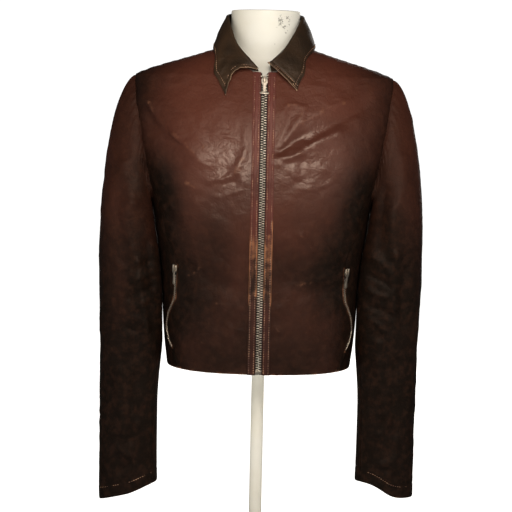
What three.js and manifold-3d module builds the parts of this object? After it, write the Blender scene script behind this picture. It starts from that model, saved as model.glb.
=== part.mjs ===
// Worn leather jacket with a zip front, pointed collar and curved pocket zips, carried by a
// limbless dress form on a slim pole and a round base.
// Millimetres, +Z up. The front faces -Y and the wearer's left is +X. The origin is the centre of
// the base's underside.

import * as THREE from "three";
import { mergeVertices } from "three/addons/utils/BufferGeometryUtils.js";
import Module from "manifold-3d";

const wasm = await Module();
wasm.setup();

// ---- driving dimensions ----

const WALL = 1.6; // leather with its turned edges, one wall
const SEAM = 0.3; // room between neighbouring pieces
const HEM = 307; // height of the hem above the floor
const UNDERARM = 586; // where the princess and back seams meet the armhole
const SHOULDER_TIP = 758;
const NECK_SIDE = 803; // highest point of the shoulder seam, beside the neck
const NECK_FRONT = 764;
const NECK_BACK = 806;
const BICEPS = 535; // below here the sleeves are plain tubes
const SLEEVE_CLEARANCE = 2.2; // sleeve to the body's side
const ZIP_HALF = 4.2; // half the width of the closed zip chain
const BAND_INNER = 5.3; // front edge of the leather beside the zip, and of the band on it
const BAND_OUTER = 17;
const POCKET_TOP = 470;
const POCKET_BOTTOM = 328;
const POCKET_ZIP_WIDTH = 4.4;

const RIGHT_ANGLE = Math.PI / 2;

// ---- materials ----

const leather = (color) => new THREE.MeshStandardMaterial({ color, roughness: 0.42 });
const nickel = new THREE.MeshStandardMaterial({ color: 0x8d8779, roughness: 0.35, metalness: 1 });
const cotton = new THREE.MeshStandardMaterial({ color: 0x1d1512, roughness: 0.9 });
const paint = new THREE.MeshStandardMaterial({ color: 0xefe9d9, roughness: 0.6 });

const burgundy = leather(0x4a2620);
const olive = leather(0x33251c);
const edgeBrown = leather(0x6b3f2a);

// ---- smooth tables ----

// Rows are [t, value, value ...] in rising t. The result runs smoothly through them and never
// swings past them.
function table(rows) {
  const last = rows.length - 1;
  const rise = (i, k) => (rows[i + 1][k] - rows[i][k]) / (rows[i + 1][0] - rows[i][0]);
  const slope = (i, k) => {
    if (i === 0) return rise(0, k);
    if (i === last) return rise(last - 1, k);
    const before = rise(i - 1, k);
    const after = rise(i, k);
    return before * after <= 0 ? 0 : (2 * before * after) / (before + after);
  };
  return (t) => {
    const x = THREE.MathUtils.clamp(t, rows[0][0], rows[last][0]);
    let i = 0;
    while (i < last - 1 && x > rows[i + 1][0]) i++;
    const span = rows[i + 1][0] - rows[i][0];
    const s = (x - rows[i][0]) / span;
    const s2 = s * s;
    const s3 = s2 * s;
    return rows[i].slice(1).map((value, j) => {
      const k = j + 1;
      return (
        (2 * s3 - 3 * s2 + 1) * value +
        (s3 - 2 * s2 + s) * span * slope(i, k) +
        (3 * s2 - 2 * s3) * rows[i + 1][k] +
        (s3 - s2) * span * slope(i + 1, k)
      );
    });
  };
}

// ---- the body of the jacket ----

// Height, half width, depth in front, depth behind, squareness of the section.
const bodySection = table([
  [HEM, 145, 108, 96, 2.35],
  [360, 150.5, 112, 97, 2.35],
  [400, 153, 112, 94, 2.35],
  [440, 155, 110, 90, 2.4],
  [480, 159, 112, 92, 2.45],
  [520, 165, 116, 98, 2.5],
  [555, 170, 119, 103, 2.5],
  [600, 181, 117, 106, 2.5],
  [650, 193, 108, 105, 2.4],
  [700, 200, 94, 98, 2.3],
  [740, 201.5, 77, 86, 2.15],
  [SHOULDER_TIP, 200, 68.5, 79, 2.05],
  [765, 186, 65, 76, 2],
  [775, 157, 60, 72, 2],
  [784, 127, 55, 68, 2],
  [793, 98, 50, 64, 2],
  [NECK_SIDE, 72, 45, 60, 2],
  [830, 50, 40, 55, 2],
]);

// Largest folds, as ridges (height > 0) and troughs: from [x, z] to [x, z], half width, height.
const frontFolds = [
  { from: [-180, 723], to: [-98, 632], half: 17, height: 4.5 },
  { from: [-172, 690], to: [-120, 630], half: 13, height: -3.5 },
  { from: [23, 647], to: [150, 716], half: 13, height: -4 },
  { from: [22, 634], to: [112, 676], half: 12, height: 3.5 },
  { from: [-120, 470], to: [-40, 440], half: 13, height: -3 },
  { from: [60, 520], to: [112, 480], half: 11, height: 3 },
  { from: [40, 452], to: [118, 436], half: 12, height: -3 },
  { from: [-100, 560], to: [-50, 520], half: 13, height: 2.5 },
];
const backFolds = [
  { from: [-140, 700], to: [-60, 600], half: 18, height: 4 },
  { from: [140, 705], to: [70, 590], half: 18, height: 4 },
  { from: [-110, 452], to: [-10, 440], half: 13, height: -4 },
  { from: [15, 462], to: [115, 448], half: 13, height: -3.5 },
  { from: [-60, 500], to: [60, 486], half: 14, height: 3 },
];

// Height of the folds at a place on the front or the back. They fade out towards the sides.
function foldHeight(folds, x, z) {
  let sum = 0;
  for (const { from, to, half, height } of folds) {
    const along = new THREE.Vector2(to[0] - from[0], to[1] - from[1]);
    const length = along.length();
    along.normalize();
    const offset = new THREE.Vector2(x - from[0], z - from[1]);
    const run = offset.dot(along);
    const across = offset.cross(along);
    const overrun = Math.max(0, -run, run - length);
    sum += height * Math.exp(-((across / half) ** 2) - (overrun / half) ** 2);
  }
  return sum;
}

// The turn is 0 at the centre front, a right angle at the side, PI at the centre back.
function bodyBase(turn, z) {
  const [halfWidth, front, back, square] = bodySection(z);
  const sine = Math.sin(turn);
  const cosine = Math.cos(turn);
  const reach = (Math.abs(sine) ** square + Math.abs(cosine) ** square) ** (-1 / square);
  const depth = cosine > 0 ? front : back;
  return new THREE.Vector3(halfWidth * reach * sine, -depth * reach * cosine, z);
}

function bodyPoint(turn, z) {
  const point = bodyBase(turn, z);
  const folds = Math.cos(turn) > 0 ? frontFolds : backFolds;
  const fade = Math.min(1, Math.abs(Math.cos(turn)) * 3);
  const height = foldHeight(folds, point.x, z) * fade;
  return point.addScaledVector(normalOf(bodyBase, turn, z), height);
}

// Unit normal of a surface given by a function of two numbers.
function normalOf(surface, u, v) {
  const step = 0.002;
  const alongU = surface(u + step, v).sub(surface(u - step, v));
  const alongV = surface(u, v + step).sub(surface(u, v - step));
  return alongU.cross(alongV).normalize();
}

// Half width of the body at a depth y, and the turn of that place.
function widthAtDepth(y, z) {
  const [halfWidth, front, back, square] = bodySection(z);
  const share = Math.min(1, Math.abs(y) / (y < 0 ? front : back));
  return halfWidth * (1 - share ** square) ** (1 / square);
}
function turnAtDepth(y, z) {
  const [halfWidth, front, back] = bodySection(z);
  return Math.atan2(widthAtDepth(y, z) / halfWidth, -y / (y < 0 ? front : back));
}
function turnAtWidth(x, z) {
  const [halfWidth, , , square] = bodySection(z);
  const share = Math.min(1, x / halfWidth);
  return Math.atan2(share, (1 - share ** square) ** (1 / square));
}

// ---- seams ----

// Half width of the princess seam, which swings out round the pocket zip.
const princessSeam = table([
  [HEM, 121],
  [328, 129],
  [340, 135],
  [354, 141],
  [370, 144],
  [388, 142],
  [403, 137],
  [420, 131],
  [470, 130],
  [521, 147],
  [560, 153],
  [574, 162],
  [UNDERARM, 170],
]);
// Depth of the seam between side and back.
const backSeam = table([
  [HEM, 46],
  [450, 42],
  [560, 50],
  [UNDERARM, 48],
]);
// The armhole from the shoulder tip down the front, under the arm and up the back: station,
// depth, height.
const ARMHOLE_STATIONS = 20;
const FRONT_JUNCTION = 8;
const BACK_JUNCTION = 12;
const armhole = table([
  [0, 0, SHOULDER_TIP],
  [1, -13, 741],
  [2, -24, 721],
  [4, -38, 677],
  [6, -45, 631],
  [FRONT_JUNCTION, -46, UNDERARM],
  [9, -31, 564],
  [10, 0, 552],
  [11, 32, 564],
  [BACK_JUNCTION, 48, UNDERARM],
  [14, 50, 633],
  [16, 46, 679],
  [18, 31, 722],
  [19, 17, 741],
  [ARMHOLE_STATIONS, 0, SHOULDER_TIP],
]);
const seamHeights = [HEM, 328, 340, 354, 370, 388, 403, 420, 445, 470, 496, 521, 548, 574, UNDERARM];
const SHOULDER_STEPS = 4;
// Height of the neckline at a turn, in degrees, from the centre front to the centre back.
const neckline = table([
  [0, NECK_FRONT],
  [5, 766],
  [12, 773],
  [21, 784],
  [35, 793],
  [60, 800],
  [90, NECK_SIDE],
  [180, NECK_BACK],
]);
const frontRise = table([
  [HEM, HEM],
  [UNDERARM, UNDERARM],
  [SHOULDER_TIP, 722],
  [NECK_SIDE, NECK_FRONT],
]);

// Stations up the outer edge of a front or of the back: [turn, height] pairs, from hem to neck.
function outerEdge(seamTurn, armholeStations) {
  const low = seamHeights.map((z) => [seamTurn(z), z]);
  const arm = armholeStations.map((station) => {
    const [y, z] = armhole(station);
    return [turnAtDepth(y, z), z];
  });
  const shoulder = [];
  for (let i = 1; i <= SHOULDER_STEPS; i++) {
    const z = THREE.MathUtils.lerp(SHOULDER_TIP, NECK_SIDE, i / SHOULDER_STEPS);
    shoulder.push([RIGHT_ANGLE, z]);
  }
  return [...low, ...arm, ...shoulder];
}
const stationsFrom = (first, last) => {
  const step = Math.sign(last - first);
  return Array.from({ length: Math.abs(last - first) + 1 }, (_, i) => first + i * step);
};
const frontEdge = outerEdge(
  (z) => turnAtWidth(princessSeam(z)[0], z),
  stationsFrom(FRONT_JUNCTION - 1, 0),
);
const backEdge = outerEdge(
  (z) => turnAtDepth(backSeam(z)[0], z),
  stationsFrom(BACK_JUNCTION + 1, ARMHOLE_STATIONS),
);

// Half the slot that the pocket zip lies in, on top of the usual seam room.
const pocketSlot = (z) => {
  const inside = z > POCKET_BOTTOM - 1 && z < POCKET_TOP + 1;
  return inside ? POCKET_ZIP_WIDTH / 2 + SEAM : 0;
};

// ---- shells ----

const steps = (count) => Array.from({ length: count + 1 }, (_, i) => i / count);

// A closed wall under a grid of [point, normal] pairs; the wall lies behind the points.
function wallGeometry(grid, wall, mirrored) {
  const rows = grid.length;
  const columns = grid[0].length;
  const positions = [];
  for (const depth of [0, wall]) {
    for (const row of grid) {
      for (const [point, normal] of row) {
        positions.push(...point.clone().addScaledVector(normal, -depth).toArray());
      }
    }
  }
  const index = [];
  const quad = (a, b, c, d) => {
    if (mirrored) index.push(a, c, b, a, d, c);
    else index.push(a, b, c, a, c, d);
  };
  const outer = (r, c) => r * columns + c;
  const inner = (r, c) => rows * columns + outer(r, c);
  for (let r = 0; r < rows - 1; r++) {
    for (let c = 0; c < columns - 1; c++) {
      quad(outer(r, c), outer(r, c + 1), outer(r + 1, c + 1), outer(r + 1, c));
      quad(inner(r, c), inner(r + 1, c), inner(r + 1, c + 1), inner(r, c + 1));
    }
  }
  for (let c = 0; c < columns - 1; c++) {
    quad(outer(0, c + 1), outer(0, c), inner(0, c), inner(0, c + 1));
    quad(outer(rows - 1, c), outer(rows - 1, c + 1), inner(rows - 1, c + 1), inner(rows - 1, c));
  }
  for (let r = 0; r < rows - 1; r++) {
    quad(outer(r, 0), outer(r + 1, 0), inner(r + 1, 0), inner(r, 0));
    const e = columns - 1;
    quad(outer(r + 1, e), outer(r, e), inner(r, e), inner(r + 1, e));
  }
  const geometry = new THREE.BufferGeometry();
  geometry.setAttribute("position", new THREE.Float32BufferAttribute(positions, 3));
  geometry.setIndex(index);
  geometry.computeVertexNormals();
  return geometry;
}

function piece(name, geometry, material) {
  const mesh = new THREE.Mesh(geometry, material);
  mesh.name = name;
  return mesh;
}

// A place on the body: the point and normal, raised by lift.
function onBody(turn, z, side, lift = 0) {
  const normal = normalOf(bodyPoint, side * turn, z);
  return [bodyPoint(side * turn, z).addScaledVector(normal, lift), normal];
}

// ---- body panels ----

const FRONT_COLUMNS = 9;
const BACK_COLUMNS = 14;
const SIDE_COLUMNS = BACK_JUNCTION - FRONT_JUNCTION;

function frontPanel(side) {
  const grid = frontEdge.map(([edgeTurn, edgeHeight]) => {
    const [startHeight] = frontRise(edgeHeight);
    const [startWidth] = bodySection(startHeight);
    const [edgeWidth] = bodySection(edgeHeight);
    const startTurn = BAND_INNER / startWidth;
    const bandTurn = BAND_OUTER / startWidth;
    const slot = edgeHeight < UNDERARM ? pocketSlot(edgeHeight) : 0;
    const room = (SEAM * 0.7 + slot) / edgeWidth;
    const neckShare = Math.max(0, (edgeHeight - SHOULDER_TIP) / (NECK_SIDE - SHOULDER_TIP));
    const beyondBand = steps(FRONT_COLUMNS - 1).map((share) => {
      const turn = THREE.MathUtils.lerp(bandTurn, edgeTurn - room, share);
      const [neckHeight] = neckline(THREE.MathUtils.radToDeg(turn));
      const neckRise = share && (neckHeight - NECK_FRONT) / (NECK_SIDE - NECK_FRONT);
      const bend = THREE.MathUtils.lerp(share, neckRise, neckShare);
      return onBody(turn, THREE.MathUtils.lerp(startHeight, edgeHeight, bend), side);
    });
    return [onBody(startTurn, startHeight, side), ...beyondBand];
  });
  return wallGeometry(grid, WALL, side < 0);
}

function sidePanel(side) {
  const topStations = stationsFrom(FRONT_JUNCTION, BACK_JUNCTION).map(armhole);
  const tops = topStations.map(([y, z]) => [turnAtDepth(y, z), z]);
  const last = seamHeights.length - 1;
  const grid = seamHeights.map((z, row) => {
    const [frontTurn] = frontEdge[row];
    const [backTurn] = backEdge[row];
    const [halfWidth] = bodySection(z);
    const rise = (z - HEM) / (UNDERARM - HEM);
    return tops.map(([topTurn, topHeight], column) => {
      const share = column / SIDE_COLUMNS;
      const height = THREE.MathUtils.lerp(HEM, topHeight, rise);
      const straightTop = THREE.MathUtils.lerp(frontEdge[last][0], backEdge[last][0], share);
      let turn = THREE.MathUtils.lerp(frontTurn, backTurn, share) + (topTurn - straightTop) * rise ** 4;
      if (column === 0) turn += (SEAM / 2 + pocketSlot(z)) / halfWidth;
      if (column === SIDE_COLUMNS) turn -= SEAM / 2 / halfWidth;
      return onBody(turn, height, side);
    });
  });
  return wallGeometry(grid, WALL, side < 0);
}

function backPanel() {
  const grid = backEdge.map(([edgeTurn, edgeHeight]) => {
    const [halfWidth] = bodySection(edgeHeight);
    const middleHeight = THREE.MathUtils.mapLinear(edgeHeight, HEM, NECK_SIDE, HEM, NECK_BACK);
    const reach = Math.PI - edgeTurn - SEAM / 2 / halfWidth;
    return steps(BACK_COLUMNS).map((share) => {
      const across = 1 - 2 * share;
      const height = THREE.MathUtils.lerp(middleHeight, edgeHeight, Math.abs(across));
      return onBody(Math.PI - across * reach, height, 1);
    });
  });
  return wallGeometry(grid, WALL, false);
}

// ---- sleeves ----

// Height, outer half width, inner half width, front depth, back depth.
const sleeveSection = table([
  [90, 248, 155, -56, 2],
  [170, 248, 157.5, -54, 8],
  [245, 249, 158, -53, 16],
  [340, 249.5, 151, -55, 28],
  [396, 251, 143.5, -57, 34],
  [444, 253, 144.5, -60, 40],
  [500, 253, 152, -64, 50],
  [BICEPS, 252, 160, -66, 57],
]);
const SLEEVE_SQUARE = 2.2;
const CAP_ROWS = 6;
const ARM_ROWS = 11;
const UNDER_FIRST = 9; // armhole stations that bound the under sleeve
const UNDER_LAST = 14;

// Angle round the arm for an armhole station: 0 outside, a quarter turn in front.
const stationAngle = table([
  [0, 0],
  [FRONT_JUNCTION, 0.75 * Math.PI],
  [BACK_JUNCTION, 1.25 * Math.PI],
  [ARMHOLE_STATIONS, 2 * Math.PI],
]);

// Height of the cuff's rim, lower on the outside and a little wavy.
const cuffRim = (angle, side) => {
  const middle = side < 0 ? 104.5 : 115.5;
  return middle - 13.5 * Math.cos(angle) + 2 * Math.sin(3 * angle + side);
};

function armPoint(angle, z, side) {
  const [outer, inner, front, back] = sleeveSection(z);
  const halfWidth = (outer - inner) / 2;
  const halfDepth = (back - front) / 2;
  const cosine = Math.cos(angle);
  const sine = Math.sin(angle);
  const reach =
    (Math.abs(cosine / halfWidth) ** SLEEVE_SQUARE + Math.abs(sine / halfDepth) ** SLEEVE_SQUARE) **
    (-1 / SLEEVE_SQUARE);
  const y = (front + back) / 2 - reach * sine;
  const free = (outer + inner) / 2 + reach * cosine;
  const kept = z > HEM ? widthAtDepth(y, z) + SLEEVE_CLEARANCE : 0;
  const x = (free + kept + Math.hypot(free - kept, 2)) / 2;
  return new THREE.Vector3(side * x, y, z);
}

// Along the sleeve, 0 is the armhole, 1 the biceps and 2 the cuff.
function sleevePoint(station, along, side) {
  const round = ((station % ARMHOLE_STATIONS) + ARMHOLE_STATIONS) % ARMHOLE_STATIONS;
  const [angle] = stationAngle(round);
  if (along > 1) {
    return armPoint(angle, THREE.MathUtils.lerp(BICEPS, cuffRim(angle, side), along - 1), side);
  }
  const [y, z] = armhole(round);
  const start = new THREE.Vector3(side * (widthAtDepth(y, z) + 0.8), y, z);
  const end = armPoint(angle, BICEPS, side);
  const length = start.distanceTo(end);
  const sine = Math.sin(angle);
  const cosine = Math.cos(angle);
  const leave = new THREE.Vector3(
    side * (0.55 + 0.35 * cosine * cosine),
    -0.45 * sine,
    -0.45 - 0.25 * sine * sine,
  ).multiplyScalar(length / 2);
  const arrive = new THREE.Vector3(side * 0.04, 0, -1).multiplyScalar(length);
  const t = along;
  return start
    .multiplyScalar(2 * t ** 3 - 3 * t ** 2 + 1)
    .addScaledVector(leave, t ** 3 - 2 * t ** 2 + t)
    .addScaledVector(end, 3 * t ** 2 - 2 * t ** 3)
    .addScaledVector(arrive, t ** 3 - t ** 2);
}

function sleevePanel(first, last, side) {
  const rows = [...steps(CAP_ROWS), ...steps(ARM_ROWS).slice(1).map((share) => 1 + share)];
  const columns = stationsFrom(first, last);
  const room = 0.02; // of a station, at the lengthwise seams
  const surface = (station, along) => sleevePoint(station, along, side);
  const grid = rows.reverse().map((along) =>
    columns.map((station, i) => {
      const shift = i === 0 ? room : i === columns.length - 1 ? -room : 0;
      const normal = normalOf(surface, station + shift, along).multiplyScalar(side);
      return [surface(station + shift, along), normal];
    }),
  );
  return wallGeometry(grid, WALL, side > 0);
}

// ---- collar ----

// Share from the front end to the centre back, turn of the neckline below, fold line x, y, z,
// turn and height of the body under the outer edge, shift towards the wearer's right. Turns are
// in degrees. The last row lies past the centre back.
const collarLines = table([
  [0, 2.7, 9, -71, 772, 15.2, 731, 2.5],
  [0.15, 6, 21, -66, 783, 18, 751, 4],
  [0.33, 14, 39, -49, 803, 26.5, 776, 4.5],
  [0.48, 30, 51.5, -30, 828, 47, 792, 2.5],
  [0.62, 90, 58, 1, 848, 90, 800.5, 0.7],
  [0.75, 115, 53, 33, 852, 115, 799, 0],
  [0.88, 147, 32, 54, 853, 147, 796, 0],
  [1, 180, 0, 61, 853, 180, 795, 0],
  [1.12, 213, -32, 54, 853, 213, 796, 0],
]);
const FOLD_RADIUS = 3.4;
const FOLD_SHARE = 0.12; // share of the fall that rolls over the fold
const COLLAR_LIFT = 5; // outer edge above the body
const COLLAR_PUFF = 2;
const STAND_WALL = 1.2;
const STAND_RAISE = 1.6; // foot of the stand above the neckline
const COLLAR_COLUMNS = 14; // each side
const TIP_DROP = 4; // the wearer's right tip hangs lower, the left one higher
const CURL_REACH = 0.3; // share of the fall that the curled right front edge takes up
const CURL_ARCH = 0.12; // share that its edge draws back
const CURL_LIFT = 3;

// The place s runs from -1 at the wearer's right front end to 1 at the left one.
function collarAt(s) {
  const side = s < 0 ? -1 : 1;
  const share = 1 - Math.abs(s);
  const end = Math.max(0, 1 - share / 0.3) ** 2;
  const [neckTurn, x, y, z, edgeTurn, edgeHeight, shift] = collarLines(share);
  return {
    side,
    neckTurn: THREE.MathUtils.degToRad(neckTurn),
    fold: new THREE.Vector3(side * x - shift, y, z + 4 * side * end),
    edgeTurn: THREE.MathUtils.degToRad(edgeTurn - 0.5 * side * shift),
    edgeHeight: edgeHeight + 0.3 * side * shift + TIP_DROP * side * end,
  };
}

function standPoint(s, t) {
  const { side, neckTurn, fold } = collarAt(s);
  const [z] = neckline(THREE.MathUtils.radToDeg(neckTurn));
  const low = bodyPoint(side * neckTurn, z);
  low.z += STAND_RAISE;
  return fold.lerp(low, t);
}

function fallPoint(place, t) {
  const down = Math.max(0, (t - FOLD_SHARE) / (1 - FOLD_SHARE));
  const curl = Math.max(0, (-place - 1 + CURL_REACH) / CURL_REACH) * Math.sin(Math.PI * down ** 0.75);
  const s = place + CURL_ARCH * curl;
  const { side, fold, edgeTurn, edgeHeight } = collarAt(s);
  const step = 0.01;
  const along = collarAt(s + step).fold.sub(collarAt(s - step).fold).normalize();
  const level = new THREE.Vector3(fold.x, fold.y, 0);
  const out = level.addScaledVector(along, -level.dot(along)).normalize();
  const up = along.clone().cross(out);
  const roll = Math.min(1, t / FOLD_SHARE);
  const bend = THREE.MathUtils.degToRad(THREE.MathUtils.lerp(-30, 90, roll));
  const start = fold
    .clone()
    .addScaledVector(out, FOLD_RADIUS * Math.sin(bend))
    .addScaledVector(up, FOLD_RADIUS * Math.cos(bend));
  if (t <= FOLD_SHARE) return start;
  const [edge] = onBody(edgeTurn, edgeHeight, side, COLLAR_LIFT);
  const lift = COLLAR_PUFF * Math.sin(Math.PI * down) + CURL_LIFT * curl ** 2;
  return start.lerp(edge, down).addScaledVector(out, lift);
}

function collarPanel(surface, rows, wall, reach) {
  const columns = steps(2 * COLLAR_COLUMNS).map((share) => reach * (2 * share - 1));
  const grid = rows.map((t) => columns.map((s) => [surface(s, t), normalOf(surface, s, t)]));
  return wallGeometry(grid, wall, false);
}

// ---- centre zip ----

const railHeights = frontEdge.map(([, height]) => frontRise(height)[0]);

// A strip up the centre front between two widths, with its outer face at a lift.
function rail(inner, outer, lift, wall, side, heights = railHeights) {
  const grid = heights.map((z) => {
    const [halfWidth] = bodySection(z);
    return [inner, outer].map((x) => onBody(x / halfWidth, z, side, lift));
  });
  return wallGeometry(grid, wall, side < 0);
}

const ZIP_TOP = 757;
const CHAIN_LIFT = 1;
const CHAIN_WALL = 2.6;
const TAPE_LIFT = -2.3;
const TAPE_WALL = 0.7;
const BAND_LIFT = 1.5;
const BAND_WALL = 1.2;
const chainHeights = [HEM + 8, ...railHeights.filter((z) => z > HEM + 12 && z < ZIP_TOP - 3), ZIP_TOP];

// Slider and pull are drawn flat: x across the zip, y up along it, then given their thickness.
const SLIDER_LIFT = CHAIN_LIFT + 0.4;
const SLIDER_THICK = 2;
const BAIL_WIDTH = 2.6;
const BAIL_WINDOW = 2.4;
const PIVOT_ALONG = 2;
const PULL_THICK = 1.2;
const PIVOT_LIFT = SLIDER_LIFT + SLIDER_THICK + BAIL_WINDOW / 2;

function extrude(shape, depth) {
  return new THREE.ExtrudeGeometry(shape, { depth, bevelEnabled: false, curveSegments: 6 });
}

function asSolid(geometry) {
  const bare = geometry.clone();
  bare.deleteAttribute("normal");
  bare.deleteAttribute("uv");
  const merged = mergeVertices(bare);
  return new wasm.Manifold(
    new wasm.Mesh({
      numProp: 3,
      vertProperties: new Float32Array(merged.attributes.position.array),
      triVerts: new Uint32Array(merged.index.array),
    }),
  );
}

function asGeometry(solid) {
  const { vertProperties, triVerts } = solid.getMesh();
  const geometry = new THREE.BufferGeometry();
  geometry.setAttribute("position", new THREE.BufferAttribute(vertProperties, 3));
  geometry.setIndex(new THREE.BufferAttribute(triVerts, 1));
  geometry.computeVertexNormals();
  return geometry;
}

// Slider body with the bail that carries the pull; z is the lift above the leather.
function sliderGeometry(halfWidth, length) {
  const outline = new THREE.Shape();
  outline.moveTo(-0.7 * halfWidth, -length / 2);
  outline.lineTo(0.7 * halfWidth, -length / 2);
  outline.lineTo(halfWidth, -length / 6);
  outline.lineTo(halfWidth, length / 3);
  outline.quadraticCurveTo(halfWidth, length / 2, 0.4 * halfWidth, length / 2);
  outline.lineTo(-0.4 * halfWidth, length / 2);
  outline.quadraticCurveTo(-halfWidth, length / 2, -halfWidth, length / 3);
  outline.lineTo(-halfWidth, -length / 6);
  outline.closePath();
  const plate = extrude(outline, SLIDER_THICK).translate(0, 0, SLIDER_LIFT);
  const base = SLIDER_LIFT + SLIDER_THICK - 0.2;
  const top = base + BAIL_WINDOW + 1.7;
  const arch = new THREE.Shape();
  arch.moveTo(PIVOT_ALONG - 5, base);
  arch.lineTo(PIVOT_ALONG + 5, base);
  arch.lineTo(PIVOT_ALONG + 5, top - 1.5);
  arch.quadraticCurveTo(PIVOT_ALONG + 5, top, PIVOT_ALONG + 3, top);
  arch.lineTo(PIVOT_ALONG - 3, top);
  arch.quadraticCurveTo(PIVOT_ALONG - 5, top, PIVOT_ALONG - 5, top - 1.5);
  arch.closePath();
  const window = new THREE.Path();
  window.moveTo(PIVOT_ALONG - 2.8, base + 0.2);
  window.lineTo(PIVOT_ALONG - 2.8, base + 0.2 + BAIL_WINDOW);
  window.lineTo(PIVOT_ALONG + 2.8, base + 0.2 + BAIL_WINDOW);
  window.lineTo(PIVOT_ALONG + 2.8, base + 0.2);
  window.closePath();
  arch.holes.push(window);
  const bail = extrude(arch, BAIL_WIDTH)
    .applyMatrix4(new THREE.Matrix4().makeBasis(
      new THREE.Vector3(0, 1, 0), new THREE.Vector3(0, 0, 1), new THREE.Vector3(1, 0, 0),
    ))
    .translate(-BAIL_WIDTH / 2, 0, 0);
  return asGeometry(asSolid(plate).add(asSolid(bail)));
}

// The pull hangs from its bar at the pivot; its eye goes round the lower leg of the bail.
function pullGeometry(length, neck, foot) {
  const eye = 3.1;
  const shape = new THREE.Shape();
  shape.moveTo(-eye, 0.7);
  shape.lineTo(-eye, -5);
  shape.quadraticCurveTo(-neck, -8, -neck, -length + 5);
  shape.lineTo(-foot, -length + 3);
  shape.lineTo(-foot, -length);
  shape.lineTo(foot, -length);
  shape.lineTo(foot, -length + 3);
  shape.lineTo(neck, -length + 5);
  shape.quadraticCurveTo(neck, -8, eye, -5);
  shape.lineTo(eye, 0.7);
  shape.closePath();
  const hole = new THREE.Path();
  hole.moveTo(-1.8, -0.7);
  hole.lineTo(1.8, -0.7);
  hole.lineTo(1.8, -5.9);
  hole.lineTo(-1.8, -5.9);
  hole.closePath();
  const lower = new THREE.Path();
  lower.absarc(0, -length + 5.2, 1.1, 0, 2 * Math.PI, true);
  shape.holes.push(hole, lower);
  return extrude(shape, PULL_THICK).translate(0, PIVOT_ALONG, PIVOT_LIFT - PULL_THICK / 2);
}

// A group whose x runs across, y up and z out of the leather at a place on the body.
function standOff(turn, z, side, lift) {
  const [point, normal] = onBody(turn, z, side, lift);
  const across = new THREE.Vector3(0, 0, 1).cross(normal).normalize();
  const up = normal.clone().cross(across);
  const group = new THREE.Group();
  group.applyMatrix4(new THREE.Matrix4().makeBasis(across, up, normal).setPosition(point));
  return group;
}

const SLIDER_HEIGHT = 750;
const SLIDER_HALF = 5;
const SLIDER_LENGTH = 13;
const PULL_LENGTH = 21;

// ---- pocket zips ----

const POCKET_SLIDER = 463;
const pocketHeights = [...seamHeights.filter((z) => z >= POCKET_BOTTOM && z <= 445), 454];

function pocketZip(side) {
  const grid = pocketHeights.map((z) => {
    const [halfWidth] = bodySection(z);
    const middle = turnAtWidth(princessSeam(z)[0], z);
    const half = POCKET_ZIP_WIDTH / 2 / halfWidth;
    return [middle - half, middle + half].map((turn) => onBody(turn, z, side, 0.5));
  });
  return wallGeometry(grid, 2, side < 0);
}

// ---- dress form ----

// Height, half width, front depth, back depth.
const formSection = table([
  [324, 118, 78, 68],
  [334, 136, 92, 82],
  [360, 140, 98, 87],
  [440, 138, 94, 79],
  [480, 141, 97, 82],
  [520, 147, 104, 88],
  [555, 152, 107, 92],
  [600, 161, 106, 95],
  [640, 172, 99, 94],
  [680, 181, 90, 91],
  [720, 184, 78, 84],
  [746, 183, 66, 76],
  [758, 173, 59, 71],
  [769, 148, 54, 67],
  [778, 118, 49, 63],
  [787, 88, 46, 59],
  [797, 62, 46, 55],
  [808, 54.5, 47, 53],
  [840, 53.5, 48, 53],
  [859, 53.5, 48, 53],
]);
const FORM_HEIGHTS = [
  324, 328, 334, 348, 380, 420, 460, 500, 540, 580, 620, 660, 700, 728, 746, 758, 769, 778, 787,
  797, 808, 824, 859,
];
const FORM_COLUMNS = 28;

function formGeometry() {
  const positions = [];
  for (const z of FORM_HEIGHTS) {
    const [halfWidth, front, back] = formSection(z);
    for (let i = 0; i < FORM_COLUMNS; i++) {
      const turn = (2 * Math.PI * i) / FORM_COLUMNS;
      const depth = Math.cos(turn) > 0 ? front : back;
      positions.push(halfWidth * Math.sin(turn), -depth * Math.cos(turn), z);
    }
  }
  const last = FORM_HEIGHTS.length - 1;
  positions.push(0, 0, FORM_HEIGHTS[0], 0, 0, FORM_HEIGHTS[last]);
  const at = (row, i) => row * FORM_COLUMNS + (i % FORM_COLUMNS);
  const bottom = (last + 1) * FORM_COLUMNS;
  const index = [];
  for (let i = 0; i < FORM_COLUMNS; i++) {
    for (let row = 0; row < last; row++) {
      index.push(at(row, i), at(row, i + 1), at(row + 1, i + 1));
      index.push(at(row, i), at(row + 1, i + 1), at(row + 1, i));
    }
    index.push(bottom, at(0, i + 1), at(0, i));
    index.push(bottom + 1, at(last, i), at(last, i + 1));
  }
  const geometry = new THREE.BufferGeometry();
  geometry.setAttribute("position", new THREE.Float32BufferAttribute(positions, 3));
  geometry.setIndex(index);
  geometry.computeVertexNormals();
  return geometry;
}

const BASE_RADIUS = 140;
const BASE_HEIGHT = 12;
const POLE_RADIUS = 10;
const POLE_TOP = FORM_HEIGHTS[0] - SEAM;
const ROUND_SIDES = 48;

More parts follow.
